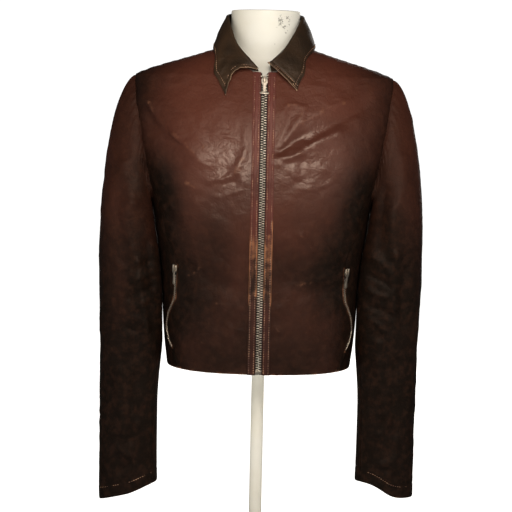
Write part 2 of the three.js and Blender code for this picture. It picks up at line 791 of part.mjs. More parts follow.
// A turned piece from [radius, height] pairs that start and end on the axis.
function turned(profile) {
  const points = profile.map(([radius, height]) => new THREE.Vector2(radius, height));
  return new THREE.LatheGeometry(points, ROUND_SIDES).rotateX(RIGHT_ANGLE);
}
const baseGeometry = turned([
  [0, 0],
  [BASE_RADIUS - 1, 0],
  [BASE_RADIUS, 1],
  [BASE_RADIUS, BASE_HEIGHT - 3],
  [BASE_RADIUS - 3, BASE_HEIGHT],
  [0, BASE_HEIGHT],
]);
const poleGeometry = turned([
  [0, BASE_HEIGHT + SEAM],
  [24, BASE_HEIGHT + SEAM],
  [24, BASE_HEIGHT + 3],
  [14, BASE_HEIGHT + 18],
  [POLE_RADIUS, BASE_HEIGHT + 20],
  [POLE_RADIUS, POLE_TOP - 12],
  [28, POLE_TOP - 4],
  [28, POLE_TOP],
  [0, POLE_TOP],
]);

// ---- the whole ----

const jacket = new THREE.Group();
for (const [word, side] of [["left", 1], ["right", -1]]) {
  jacket.add(piece(`front_${word}`, frontPanel(side), burgundy));
  jacket.add(piece(`side_${word}`, sidePanel(side), burgundy));
  const under = sleevePanel(UNDER_FIRST, UNDER_LAST, side);
  const top = sleevePanel(UNDER_LAST, UNDER_FIRST + ARMHOLE_STATIONS, side);
  jacket.add(piece(`sleeve_under_${word}`, under, olive));
  jacket.add(piece(`sleeve_top_${word}`, top, burgundy));
  const band = rail(BAND_INNER, BAND_OUTER, BAND_LIFT, BAND_WALL, side);
  jacket.add(piece(`band_${word}`, band, edgeBrown));
  jacket.add(piece(`zip_tape_${word}`, rail(0.5, 13, TAPE_LIFT, TAPE_WALL, side), cotton));
  jacket.add(piece(`pocket_zip_${word}`, pocketZip(side), nickel));
  const pocket = standOff(turnAtWidth(princessSeam(POCKET_SLIDER)[0], POCKET_SLIDER), POCKET_SLIDER, side, 0);
  pocket.add(piece(`pocket_slider_${word}`, sliderGeometry(3.6, 11), nickel));
  pocket.add(piece(`pocket_pull_${word}`, pullGeometry(26, 1.8, 2.4), nickel));
  jacket.add(pocket);
}
jacket.add(piece("back", backPanel(), burgundy));
jacket.add(piece("collar_stand", collarPanel(standPoint, [0.05, 0.5, 1], STAND_WALL, 0.95), olive));
const fallRows = [0, FOLD_SHARE / 2, FOLD_SHARE, 0.3, 0.5, 0.75, 1];
jacket.add(piece("collar_fall", collarPanel(fallPoint, fallRows, WALL, 0.998), olive));
jacket.add(piece("zip_chain", rail(-ZIP_HALF, ZIP_HALF, CHAIN_LIFT, CHAIN_WALL, 1, chainHeights), nickel));
const centre = standOff(0, SLIDER_HEIGHT, 1, 0);
centre.add(piece("zip_slider", sliderGeometry(SLIDER_HALF, SLIDER_LENGTH), nickel));
centre.add(piece("zip_pull", pullGeometry(PULL_LENGTH, 2.2, 6), nickel));
jacket.add(centre);
jacket.add(piece("zip_stop", rail(-4.6, 4.6, CHAIN_LIFT + 0.4, 3, 1, [HEM + 1.5, HEM + 7.5]), nickel));
jacket.add(piece("form_torso", formGeometry(), paint));
jacket.add(piece("form_pole", poleGeometry, paint));
jacket.add(piece("form_base", baseGeometry, paint));

export default jacket;
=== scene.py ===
# A worn leather jacket on a limbless dress form.
# Blender works in metres; the cutting tables below are in millimetres and mm turns them over.
import math

import bpy
import numpy as np
from mathutils import Matrix, Vector
from mathutils.bvhtree import BVHTree


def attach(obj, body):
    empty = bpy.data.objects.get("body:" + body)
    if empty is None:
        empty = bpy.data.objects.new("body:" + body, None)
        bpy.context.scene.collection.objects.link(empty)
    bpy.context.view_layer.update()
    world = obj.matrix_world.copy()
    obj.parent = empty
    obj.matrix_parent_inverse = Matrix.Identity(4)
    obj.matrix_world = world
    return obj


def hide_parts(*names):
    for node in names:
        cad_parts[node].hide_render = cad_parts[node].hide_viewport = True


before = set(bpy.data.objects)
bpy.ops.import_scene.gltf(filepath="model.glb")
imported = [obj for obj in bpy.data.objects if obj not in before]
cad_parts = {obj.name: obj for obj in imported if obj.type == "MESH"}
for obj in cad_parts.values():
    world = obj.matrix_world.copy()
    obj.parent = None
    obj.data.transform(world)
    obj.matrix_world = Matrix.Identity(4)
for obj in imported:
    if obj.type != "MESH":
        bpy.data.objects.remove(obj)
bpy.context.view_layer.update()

mm = 0.001
bpy.ops.object.select_all(action="DESELECT")

print("camera, light and floor")

camera = {
    "distance": 2.4,       # from the jacket's middle
    "height": 0.74,
    "aside": -0.0072,
    "tilt": 6.25,          # degrees down
    "roll": 1.25,
    "lens": 107.7,
}
lens = bpy.data.cameras.new("camera")
lens.lens = camera["lens"]
viewer = bpy.data.objects.new("camera", lens)
bpy.context.scene.collection.objects.link(viewer)
tilted = Matrix.Rotation(math.radians(90 - camera["tilt"]), 4, "X")
rolled = Matrix.Rotation(math.radians(camera["roll"]), 4, "Z")
stood = Matrix.Translation((camera["aside"], -camera["distance"], camera["height"]))
viewer.matrix_world = stood @ tilted @ rolled
bpy.context.scene.camera = viewer
bpy.context.scene.view_settings.view_transform = "Standard"

studio = {
    "sky": (0.9, 0.95, 1, 1),
    "skyStrength": 0.06,
    "aim": (0, 0, 0.58),        # where the lamps point
    "radius": 7,
    "floorHeight": -0.0006,
    "floor": "#f4f3f0",
    "floorGlow": 1.2,
    "surround": "#ffffff",
    "surroundGlow": 1.1,
}
world = bpy.data.worlds.new("studio")
bpy.context.scene.world = world
world.use_nodes = True
world.node_tree.nodes["Background"].inputs["Color"].default_value = studio["sky"]
world.node_tree.nodes["Background"].inputs["Strength"].default_value = studio["skyStrength"]

softboxes = {
    "key": {"at": (0.1, -1.5, 1.36), "size": (0.9, 0.62), "power": 22, "colour": (1, 0.93, 0.85)},
    "left": {"at": (-1.9, -1.5, 1.1), "size": (1.8, 1.8), "power": 8, "colour": (1, 0.96, 0.92)},
    "right": {"at": (1.9, -1.5, 1.1), "size": (1.8, 1.8), "power": 8, "colour": (1, 0.96, 0.92)},
    "back": {"at": (0.5, 2.1, 1.0), "size": (1.6, 1.2), "power": 15, "colour": (1, 0.95, 0.9)},
}
for name, box in softboxes.items():
    light = bpy.data.lights.new(name, "AREA")
    light.shape = "RECTANGLE"
    light.size, light.size_y = box["size"]
    light.energy = box["power"]
    light.color = box["colour"]
    lamp = bpy.data.objects.new(name, light)
    lamp.location = box["at"]
    lamp.rotation_euler = (Vector(studio["aim"]) - lamp.location).to_track_quat("-Z", "Y").to_euler()
    bpy.context.scene.collection.objects.link(lamp)


print("materials")


# Adds a node: its settings by name, and its sockets' values, colours or links by name or number.
def addNode(tree, kind, sockets=(), **settings):
    made = tree.nodes.new("ShaderNode" + kind)
    for name, value in settings.items():
        setattr(made, name, value)
    for socket, value in dict(sockets).items():
        if isinstance(value, bpy.types.NodeSocket):
            tree.links.new(value, made.inputs[socket])
        else:
            made.inputs[socket].default_value = hexColour(value) if isinstance(value, str) else value
    return made


# sRGB hex to linear, with alpha
def hexColour(text):
    parts = [int(text[i : i + 2], 16) / 255 for i in (1, 3, 5)]
    return (*[p / 12.92 if p <= 0.04045 else ((p + 0.055) / 1.055) ** 2.4 for p in parts], 1)


def newMaterial(name, **sockets):
    made = bpy.data.materials.new(name)
    made.use_nodes = True
    shader = made.node_tree.nodes["Principled BSDF"]
    for socket, value in sockets.items():
        shader.inputs[socket.replace("_", " ")].default_value = value
    return made, made.node_tree, shader


eased = {"interpolation_type": "SMOOTHSTEP"}   # a Map Range node that eases in and out
colours = {"data_type": "RGBA"}                # a Mix node whose sockets 6 and 7 are colours


# Calf leather, drum dyed red-brown, waxed and rubbed by wear. The eye sees a dark red-brown body
# that is painted nearly black low down as shade, orange-brown rubbed edges, a fine pebble grain and a soft
# warm gloss where the chest has been polished by wear. A piece's points carry tone (dye and painted shade),
# rub and polish.
def waxedLeather(name, look):
    made, tree, shader = newMaterial(name, IOR=1.48, Specular_Tint=look["tint"])
    place = addNode(tree, "TexCoord").outputs["Object"]
    tone, rub, polish = [
        addNode(tree, "Attribute", attribute_name=word).outputs["Fac"] for word in ("tone", "rub", "polish")
    ]
    clouds = addNode(tree, "TexNoise", {
        "Vector": place, "Scale": 8, "Detail": 3, "Roughness": 0.5, "Distortion": 0.9}).outputs["Fac"]
    blotch = addNode(tree, "TexNoise", {
        "Vector": place, "Scale": 90, "Detail": 4, "Roughness": 0.6}).outputs["Fac"]
    cloudy = addNode(tree, "Math", {0: clouds, 1: 0.42, 2: tone}, operation="MULTIPLY_ADD").outputs[0]
    redness = addNode(tree, "MapRange", {
        "Value": cloudy, "From Min": 0.08, "From Max": 1.02}, **eased).outputs[0]
    # the tone holds painted shade as well as the dye, so a low tone here paints shade as dark colour
    dyedAndShaded = addNode(tree, "Mix", {0: redness, 6: look["dark"], 7: look["body"]}, **colours).outputs[2]
    warmth = addNode(tree, "MapRange", {
        "Value": blotch, "From Min": 0.4, "From Max": 0.75, "To Max": look["blotches"]}, **eased).outputs[0]
    dyedAndShaded = addNode(tree, "Mix", {0: warmth, 6: dyedAndShaded, 7: look["warm"]}, **colours).outputs[2]
    worn = addNode(tree, "Math", {0: blotch, 1: 0.7, 2: rub}, operation="MULTIPLY_ADD").outputs[0]
    bareness = addNode(tree, "MapRange", {
        "Value": worn, "From Min": 0.62, "From Max": 1.15}, **eased).outputs[0]
    bare = addNode(tree, "Mix", {0: bareness, 6: dyedAndShaded, 7: look["rubbed"]}, **colours).outputs[2]
    tree.links.new(bare, shader.inputs["Base Color"])
    dull = addNode(tree, "TexNoise", {
        "Vector": place, "Scale": 34, "Detail": 6, "Roughness": 0.7}).outputs["Fac"]
    patchy = addNode(tree, "Math", {0: dull, 1: -0.3, 2: polish}, operation="MULTIPLY_ADD").outputs[0]
    for socket, (dullest, glossiest) in (
        ("Roughness", look["roughness"]), ("Specular IOR Level", look["specular"]),
    ):
        shine = addNode(tree, "MapRange", {
            "Value": patchy, "From Min": -0.2, "From Max": 0.8,
            "To Min": dullest, "To Max": glossiest}, **eased).outputs[0]
        tree.links.new(shine, shader.inputs[socket])
    # pebble grain 2.6 mm across, coarser than the real 1 mm so that it shows
    grain = addNode(tree, "TexVoronoi", {"Vector": place, "Scale": 1 / (2.6 * mm), "Randomness": 1},
                    feature="SMOOTH_F1").outputs["Distance"]
    # fine lines between creases 11 mm apart, as worn leather breaks
    warp = addNode(tree, "TexNoise", {"Vector": place, "Scale": 40, "Detail": 2}).outputs["Color"]
    bent = addNode(tree, "MixRGB", {
        "Fac": 0.012, "Color1": place, "Color2": warp}, blend_type="ADD").outputs[0]
    lines = addNode(tree, "TexVoronoi", {"Vector": bent, "Scale": 1 / (11 * mm)},
                    feature="DISTANCE_TO_EDGE").outputs["Distance"]
    lines = addNode(tree, "MapRange", {"Value": lines, "From Max": 0.16}, **eased).outputs[0]
    soft = addNode(tree, "TexNoise", {
        "Vector": place, "Scale": 110, "Detail": 5, "Roughness": 0.62}).outputs["Fac"]
    bump = None
    for height, strength, depth in (
        (soft, look["crumple"], 1.1), (lines, look["crumple"] * 0.35, 0.5), (grain, look["grain"], 0.5),
    ):
        under = {"Normal": bump} if bump else {}
        bump = addNode(tree, "Bump", {
            "Height": height, "Strength": strength, "Distance": depth * mm, **under}).outputs[0]
    tree.links.new(bump, shader.inputs["Normal"])
    return made


bodyLook = {
    "dark": "#110a06", "body": "#4f291e", "warm": "#54301f", "rubbed": "#80563e",
    "blotches": 0.13,
    "roughness": (0.56, 0.36),     # where dull, where polished
    "specular": (0.08, 0.66),
    "tint": (1, 0.82, 0.7, 1),
    "crumple": 0.7, "grain": 0.24,
}
collarLook = {**bodyLook, "dark": "#1a130c", "body": "#372719", "warm": "#46301f", "rubbed": "#94785e",
              "roughness": (0.55, 0.4), "specular": (0.2, 0.4)}
edgeLook = {**bodyLook, "body": "#552620", "warm": "#6a3424", "rubbed": "#8c5c3c", "crumple": 0.35}
bodyLeather = waxedLeather("waxedCalfBody", bodyLook)
collarLeather = waxedLeather("waxedCalfCollar", collarLook)
edgeLeather = waxedLeather("waxedCalfBands", edgeLook)


# Nickel plate gone dull and brown in its hollows. The eye sees soft, warm grey highlights.
def antiqueNickel():
    made, tree, shader = newMaterial("antiqueNickelCast", Metallic=1.0)
    place = addNode(tree, "TexCoord").outputs["Object"]
    dirt = addNode(tree, "TexNoise", {
        "Vector": place, "Scale": 260, "Detail": 5, "Roughness": 0.65}).outputs["Fac"]
    brown = addNode(tree, "MapRange", {"Value": dirt, "From Min": 0.5, "From Max": 0.75}, **eased).outputs[0]
    plate = addNode(tree, "Mix", {0: brown, 6: "#ddd0bd", 7: "#75634e"}, **colours).outputs[2]
    tree.links.new(plate, shader.inputs["Base Color"])
    dulled = addNode(tree, "MapRange", {
        "Value": dirt, "From Min": 0.35, "From Max": 0.7, "To Min": 0.38, "To Max": 0.58}, **eased).outputs[0]
    tree.links.new(dulled, shader.inputs["Roughness"])
    knocks = addNode(tree, "Bump", {
        "Height": dirt, "Strength": 0.25, "Distance": 0.15 * mm}).outputs["Normal"]
    tree.links.new(knocks, shader.inputs["Normal"])
    return made


# Cotton zip tape, herringbone woven, brown-black. The eye sees fine ribs across it, 1.4 mm apart.
def wovenTape():
    made, tree, shader = newMaterial("cottonTapeWoven", Roughness=0.9, Sheen_Weight=0.25)
    place = addNode(tree, "TexCoord").outputs["Object"]
    ribs = addNode(tree, "TexWave", {
        "Vector": place, "Scale": 1 / (1.4 * mm) / 6.283, "Distortion": 1.5, "Detail": 2},
        bands_direction="Z").outputs["Fac"]
    cotton = addNode(tree, "Mix", {0: ribs, 6: "#17100d", 7: "#33241c"}, **colours).outputs[2]
    tree.links.new(cotton, shader.inputs["Base Color"])
    weave = addNode(tree, "Bump", {"Height": ribs, "Strength": 0.5, "Distance": 0.3 * mm}).outputs["Normal"]
    tree.links.new(weave, shader.inputs["Normal"])
    return made


# Waxed polyester thread, twisted. The eye sees short light-brown beads along each seam.
def waxedThread():
    made, tree, shader = newMaterial("polyesterThreadWaxed", Roughness=0.5)
    place = addNode(tree, "TexCoord").outputs["Object"]
    shade = addNode(tree, "TexNoise", {"Vector": place, "Scale": 90, "Detail": 3}).outputs["Fac"]
    pale = addNode(tree, "MapRange", {"Value": shade, "From Min": 0.4, "From Max": 0.65}, **eased).outputs[0]
    waxed = addNode(tree, "Mix", {0: pale, 6: "#5c3a2a", 7: "#a88264"}, **colours).outputs[2]
    tree.links.new(waxed, shader.inputs["Base Color"])
    return made


# Cream eggshell paint, knocked in one place. The eye sees a nearly even cream, a faint roller
# texture and a spray of grey chips.
def chippedPaint(name, chipsAt, chipReach):
    made, tree, shader = newMaterial(name, IOR=1.48)
    place = addNode(tree, "TexCoord").outputs["Object"]
    grime = addNode(tree, "TexNoise", {
        "Vector": place, "Scale": 9, "Detail": 5, "Roughness": 0.6}).outputs["Fac"]
    greyed = addNode(tree, "MapRange", {
        "Value": grime, "From Min": 0.35, "From Max": 0.75}, **eased).outputs[0]
    paint = addNode(tree, "Mix", {0: greyed, 6: "#d2cfc4", 7: "#cac4b3"}, **colours).outputs[2]
    away = addNode(tree, "VectorMath", {0: place, 1: chipsAt}, operation="DISTANCE").outputs["Value"]
    near = addNode(tree, "MapRange", {
        "Value": away, "From Min": 0, "From Max": chipReach, "To Min": 1, "To Max": 0}, **eased).outputs[0]
    flakes = addNode(tree, "TexNoise", {
        "Vector": place, "Scale": 330, "Detail": 3, "Roughness": 0.55}).outputs["Fac"]
    clump = addNode(tree, "TexNoise", {"Vector": place, "Scale": 120, "Detail": 2}).outputs["Fac"]
    dots = addNode(tree, "Math", {0: clump, 1: 0.8, 2: flakes}, operation="MULTIPLY_ADD").outputs[0]
    chance = addNode(tree, "Math", {0: near, 1: 0.3, 2: dots}, operation="MULTIPLY_ADD").outputs[0]
    chips = addNode(tree, "MapRange", {
        "Value": chance, "From Min": 1.22, "From Max": 1.27}, **eased).outputs[0]
    coat = addNode(tree, "Mix", {0: chips, 6: paint, 7: "#8f8c83"}, **colours).outputs[2]
    tree.links.new(coat, shader.inputs["Base Color"])
    dulled = addNode(tree, "MapRange", {
        "Value": grime, "From Min": 0.3, "From Max": 0.8, "To Min": 0.42, "To Max": 0.6}, **eased).outputs[0]
    tree.links.new(dulled, shader.inputs["Roughness"])
    rolled = addNode(tree, "TexNoise", {"Vector": place, "Scale": 300, "Detail": 2}).outputs["Fac"]
    skin = addNode(tree, "Bump", {"Height": rolled, "Strength": 0.12, "Distance": 0.3 * mm}).outputs["Normal"]
    chipped = addNode(tree, "Bump", {
        "Height": chips, "Normal": skin, "Strength": 0.7, "Distance": 0.4 * mm},
        invert=True).outputs["Normal"]
    tree.links.new(chipped, shader.inputs["Normal"])
    return made


nickel = antiqueNickel()
tapeCotton = wovenTape()
thread = waxedThread()
formPaint = chippedPaint("creamPaintOnGlassFibre", (0.028, -0.043, 0.843), 0.032)
steelPaint = chippedPaint("creamPaintOnSteel", (0.12, -0.06, 0.012), 0.03)

# Pale seamless floor and a surround that only the camera sees.
floorPaper, floorTree, floorShader = newMaterial("backgroundPaper", Roughness=0.95)
floorShader.inputs["Base Color"].default_value = hexColour(studio["floor"])
floorShader.inputs["Emission Color"].default_value = hexColour(studio["floor"])
floorShader.inputs["Emission Strength"].default_value = studio["floorGlow"]
paperPlace = addNode(floorTree, "TexCoord").outputs["Object"]
fibres = addNode(floorTree, "TexNoise", {"Vector": paperPlace, "Scale": 500, "Detail": 3}).outputs["Fac"]
paperSkin = addNode(floorTree, "Bump", {"Height": fibres, "Strength": 0.05, "Distance": 0.2 * mm}).outputs[0]
floorTree.links.new(paperSkin, floorShader.inputs["Normal"])
bpy.ops.mesh.primitive_circle_add(
    vertices=96, radius=studio["radius"], fill_type="NGON", location=(0, 0, studio["floorHeight"]))
floor = bpy.context.object
floor.name = "floor"
floor.data.materials.append(floorPaper)
surroundPaper, _, surroundShader = newMaterial("surroundPaper", Roughness=1.0)
surroundShader.inputs["Base Color"].default_value = (0, 0, 0, 1)
surroundShader.inputs["Emission Color"].default_value = hexColour(studio["surround"])
surroundShader.inputs["Emission Strength"].default_value = studio["surroundGlow"]
bpy.ops.mesh.primitive_uv_sphere_add(segments=48, ring_count=24, radius=studio["radius"] - 0.05)
surround = bpy.context.object
surround.name = "surround"
surround.data.materials.append(surroundPaper)
for unseen in ("visible_diffuse", "visible_glossy", "visible_transmission", "visible_shadow"):
    setattr(surround, unseen, False)
floor.visible_glossy = False


# A smooth curve through a table's rows, the first column against the others, that never swings past them.
def smoothTable(rows):
    rows = np.array(rows, float)
    t, values = rows[:, 0], rows[:, 1:]
    rise = np.diff(values, axis=0) / np.diff(t)[:, None]
    slope = np.zeros_like(values)
    slope[0], slope[-1] = rise[0], rise[-1]
    same = rise[:-1] * rise[1:] > 0
    total = np.where(same, rise[:-1] + rise[1:], 1)
    slope[1:-1] = np.where(same, 2 * rise[:-1] * rise[1:] / total, 0)

    def at(x):
        x = np.clip(np.asarray(x, float), t[0], t[-1])
        i = np.clip(np.searchsorted(t, x, side="right") - 1, 0, len(t) - 2)
        span = t[i + 1] - t[i]
        s = (x - t[i]) / span
        a, b = 2 * s**3 - 3 * s**2 + 1, (s**3 - 2 * s**2 + s) * span
        c, d = 3 * s**2 - 2 * s**3, (s**3 - s**2) * span
        columns = [a * v[i] + b * m[i] + c * v[i + 1] + d * m[i + 1] for v, m in zip(values.T, slope.T)]
        return columns[0] if len(columns) == 1 else columns

    return at


jacket = {
    "hem": 307, "underarm": 586, "shoulderTip": 758, "neckSide": 803, "neckFront": 764, "neckBack": 806,
    "biceps": 535,
    "wall": 1.6, "seam": 0.06,
    "bandInner": 5.3, "bandOuter": 17,                             # from the middle of the front
    "pocketTop": 472, "pocketBottom": 336, "pocketZip": 3.6,
    "frontStation": 8, "backStation": 12, "wholeArmhole": 20,      # where the side panel meets the armhole
}

# height, half width, depth in front, depth behind, squareness
bodySection = smoothTable([
    (307, 145, 108, 96, 2.35), (360, 150.5, 112, 97, 2.35), (400, 153, 112, 94, 2.35),
    (440, 155, 110, 90, 2.4), (480, 159, 112, 92, 2.45), (520, 165, 116, 98, 2.5),
    (555, 170, 119, 103, 2.5), (600, 181, 117, 106, 2.5), (650, 193, 108, 105, 2.4),
    (700, 200, 94, 98, 2.3), (740, 201.5, 77, 86, 2.15), (758, 200, 68.5, 79, 2.05),
    (765, 186, 65, 76, 2), (775, 157, 60, 72, 2), (784, 127, 55, 68, 2),
    (793, 98, 50, 64, 2), (803, 72, 45, 60, 2), (830, 50, 40, 55, 2),
])
# half width of the princess seam, which swings round the pocket zip
princessSeam = smoothTable([
    (307, 121), (328, 129), (340, 135), (354, 141), (370, 144), (388, 142), (403, 137),
    (420, 131), (470, 130), (521, 147), (560, 153), (574, 162), (586, 170),
])
backSeam = smoothTable([(307, 46), (450, 42), (560, 50), (586, 48)])
# the armhole by station: depth, height
armhole = smoothTable([
    (0, 0, 758), (1, -13, 741), (2, -24, 721), (4, -38, 677), (6, -45, 631), (8, -46, 586),
    (9, -31, 564), (10, 0, 552), (11, 32, 564), (12, 48, 586), (14, 50, 633), (16, 46, 679),
    (18, 31, 722), (19, 17, 741), (20, 0, 758),
])
neckline = smoothTable([
    (0, 764), (5, 766), (12, 773), (21, 784), (35, 793), (60, 800), (90, 803), (180, 806),
])
frontRise = smoothTable([(307, 307), (586, 586), (758, 722), (803, 764)])

# folds as from x, z to x, z, then half width, height and bow; a trough has a height below zero
frontFolds = [
    (-180, 723, -98, 632, 17, 4.5, 0), (-172, 690, -120, 630, 13, -3.5, 0),
    (23, 647, 150, 716, 13, -4, 0), (22, 634, 112, 676, 12, 3.5, 0),
    (-120, 470, -40, 440, 13, -3, 0), (60, 520, 112, 480, 11, 3, 0),
    (40, 452, 118, 436, 12, -3, 0), (-100, 560, -50, 520, 13, 2.5, 0),
]
backFolds = [
    (-140, 700, -60, 600, 18, 4, 0), (140, 705, 70, 590, 18, 4, 0),
    (-110, 452, -10, 440, 13, -4, 0), (15, 462, 115, 448, 13, -3.5, 0),
    (-60, 500, 60, 486, 14, 3, 0),
]
frontCreases = [
    # the wearer's right: long pull from the armhole, tugs beside the zip, crumpled chest
    (-176, 716, -132, 664, 5, 1.6, 4), (-136, 668, -96, 630, 4.5, 1.7, -3),
    (-158, 700, -128, 652, 5, -1.3, 3),
    (-60, 600, -24, 648, 5, 1.2, 4), (-40, 612, -19, 660, 4, 1.3, -2), (-30, 660, -20, 700, 4, 1.1, 2),
    (-82, 602, -46, 610, 3.5, 1.3, 3), (-78, 590, -42, 600, 4, -0.8, -4), (-74, 578, -34, 588, 4.5, 0.9, 4),
    (-68, 612, -54, 592, 4, 0.6, 3), (-52, 618, -38, 596, 4, -0.7, -3), (-36, 622, -28, 600, 4, 0.7, 2),
    (-76, 505, -66, 488, 3, -1.1, 1), (-72, 478, -50, 484, 3.5, 1.2, 2), (-60, 486, -46, 474, 3, -1.1, 0),
    (-50, 384, -26, 376, 3.5, 1.3, 3), (-40, 390, -36, 366, 3, -1.1, 0), (-30, 388, -46, 370, 3, 1, 1),
    (-124, 452, -88, 470, 6, 1.5, 3), (-118, 432, -70, 446, 6, -1.5, 3), (-100, 420, -60, 414, 7, 1.3, -3),
    (-138, 560, -104, 548, 5, 1.2, 3), (-140, 540, -110, 522, 5, -1.3, 2), (-130, 600, -96, 586, 6, 1.2, -2),
    (-112, 690, -84, 650, 7, 1.2, 4), (-90, 360, -60, 348, 6, 1.2, 3), (-80, 334, -40, 340, 5, -1.1, 3),
    # the wearer's left: folds that fan out from the zip at the chest, crumpled patch, waist
    (24, 652, 62, 712, 4.5, 2.1, 3), (30, 706, 54, 712, 4, 1.7, -9), (21, 660, 40, 700, 4, -1.5, 2),
    (24, 646, 60, 672, 5, -1.8, 0), (22, 638, 56, 645, 4, 1.9, 3), (56, 645, 112, 676, 6, 1.5, -4),
    (70, 662, 142, 706, 6, -1.4, -3), (60, 690, 130, 724, 8, 1.4, -4), (26, 628, 52, 618, 4, 1.2, 2),
    (42, 634, 58, 612, 4, 0.6, 3), (62, 632, 80, 612, 4.5, -0.6, -3), (80, 642, 98, 622, 5, 0.6, 3),
    (40, 618, 80, 604, 4.5, 0.8, 5), (48, 598, 94, 604, 4.5, -0.8, -5),
    (60, 592, 104, 602, 4, 1.1, 3), (61, 520, 78, 496, 4, 1.8, -2), (91, 514, 108, 482, 4.5, 1.7, -3),
    (76, 512, 92, 486, 5, -1.3, -2), (28, 474, 38, 464, 3.5, 1.2, 1), (14, 392, 32, 374, 4, 1.7, 2),
    (14, 348, 26, 336, 4, 1.3, 1), (50, 448, 96, 456, 6, 1.4, 4), (58, 428, 112, 430, 7, -1.5, -3),
    (120, 560, 142, 540, 5, 1.3, 2), (112, 580, 146, 566, 5, -1.3, 2), (70, 372, 104, 352, 6, 1.2, -3),
    (60, 340, 98, 334, 5, -1.1, 3), (34, 520, 52, 506, 4, 1.1, -2),
]
backCreases = [
    (-150, 690, -96, 636, 6, 1.7, 4), (150, 694, 100, 632, 6, 1.7, -4), (-132, 716, -84, 668, 6, -1.4, 3),
    (134, 718, 80, 664, 6, -1.4, -3), (-60, 620, -20, 560, 7, 1.3, 4), (58, 616, 24, 552, 7, 1.3, -4),
    (-112, 470, -64, 456, 5, 1.6, 3), (-90, 440, -30, 446, 6, -1.5, -3), (-40, 470, 30, 462, 5, 1.4, 3),
    (30, 452, 96, 462, 5, 1.5, -3), (60, 438, 118, 444, 6, -1.5, 3), (-120, 420, -70, 410, 6, 1.2, -2),
    (70, 412, 122, 418, 6, 1.2, 2), (-30, 430, 40, 424, 6, -1.2, 3), (-50, 770, 50, 772, 8, 1.3, -5),
    (-40, 730, 44, 726, 8, -1.1, 4), (-100, 360, -60, 342, 6, 1.1, 2), (62, 350, 104, 358, 6, 1.1, 2),
    (-124, 560, -96, 520, 5, 1.2, 2), (126, 556, 98, 518, 5, 1.2, -2),
]


# Height of all the folds of a table at a place.
def foldSum(folds, x, z, sharpness=2.0):
    total = np.zeros_like(x)
    for fromX, fromZ, toX, toZ, half, height, bow in folds:
        dx, dz = toX - fromX, toZ - fromZ
        length = math.hypot(dx, dz)
        dx, dz = dx / length, dz / length
        run = (x - fromX) * dx + (z - fromZ) * dz
        share = np.clip(run / length, 0, 1)
        across = (x - fromX) * dz - (z - fromZ) * dx - bow * 4 * share * (1 - share)
        overrun = np.maximum(0, np.maximum(-run, run - length))
        total += height * np.exp(-np.abs(across / half) ** sharpness - (overrun / half) ** 2)
    return total


# Smooth noise between -1 and 1 over a grid of whole numbers, the same on every run.
def latticeNoise(x, y, seed):
    ix, iy = np.floor(x).astype(np.int64), np.floor(y).astype(np.int64)
    fx, fy = x - ix, y - iy
    fx, fy = fx * fx * (3 - 2 * fx), fy * fy * (3 - 2 * fy)

    def corner(a, b):
        n = (a * 374761393 + b * 668265263 + seed * 974634777) & 0xFFFFFFFF
        n = ((n ^ (n >> 13)) * 1274126177) & 0xFFFFFFFF
        return ((n ^ (n >> 16)) & 0xFFFF) / 32767.5 - 1

    low = corner(ix, iy) * (1 - fx) + corner(ix + 1, iy) * fx
    high = corner(ix, iy + 1) * (1 - fx) + corner(ix + 1, iy + 1) * fx
    return low * (1 - fy) + high * fy


# Soft crumpling: warped noise with rounded crests, about one millimetre high.
def crumple(x, y, size, seed):
    bendX = 0.6 * latticeNoise(x / size * 0.6 + 7, y / size * 0.6, seed + 5)
    bendY = 0.6 * latticeNoise(x / size * 0.6, y / size * 0.6 + 3, seed + 9)
    wide = latticeNoise(x / size + bendX, y / size + bendY, seed)
    fine = latticeNoise(2.3 * x / size + bendY, 2.3 * y / size + bendX, seed + 1)
    return 0.7 * (1 - 2 * np.abs(wide)) + 0.3 * fine


# The jacket's body without folds. The turn is the angle round from the middle of the front.
def bodyBase(turn, z):
    halfWidth, front, back, square = bodySection(z)
    sine, cosine = np.sin(turn), np.cos(turn)
    reach = (np.abs(sine) ** square + np.abs(cosine) ** square) ** (-1 / square)
    depth = np.where(cosine > 0, front, back)
    return np.stack([halfWidth * reach * sine, -depth * reach * cosine, z + 0 * turn], -1)


# Outward direction of a surface, from two short steps along it.
def normalOf(surface, u, v, step=0.002):
    alongU = surface(u + step, v) - surface(u - step, v)
    alongV = surface(u, v + step) - surface(u, v - step)
    normal = np.cross(alongU, alongV)
    return normal / np.linalg.norm(normal, axis=-1, keepdims=True)


# The body with its large folds, which fade out at the sides.
def bodyPoint(turn, z):
    point = bodyBase(turn, z)
    x = point[..., 0]
    height = np.where(np.cos(turn) > 0, foldSum(frontFolds, x, z), foldSum(backFolds, x, z))
    fade = np.minimum(1, np.abs(np.cos(turn)) * 3)
    return point + normalOf(bodyBase, turn, z) * (height * fade)[..., None]


# Fine creases, kept off the centre zip, the pocket zips and the sides under the sleeves.
def bodyCreases(turn, point):
    x, z = point[..., 0], point[..., 2]
    front = np.cos(turn) > 0
    height = np.where(front, foldSum(frontCreases, x, z, 1.6), foldSum(backCreases, x, z, 1.6))
    height = height + crumple(x, z, 26, 11) + 0.55 * crumple(x + 9, z, 10, 23)
    side = np.clip(np.abs(np.cos(turn)) * 2.6 - 0.25, 0, 1)
    centre = np.where(front, np.clip((np.abs(x) - 16) / 12, 0, 1), 1)
    fromPocket = np.abs(np.abs(x) - princessSeam(z))
    pocket = np.where(front & (z < 500), np.clip((fromPocket - 6) / 14, 0, 1), 1)
    return height * side * centre * pocket


# The finished face of the leather, and its outward direction.
def skin(turn, z):
    point = bodyPoint(turn, z)
    normal = normalOf(bodyPoint, turn, z)
    return point + normal * bodyCreases(turn, point)[..., None], normal


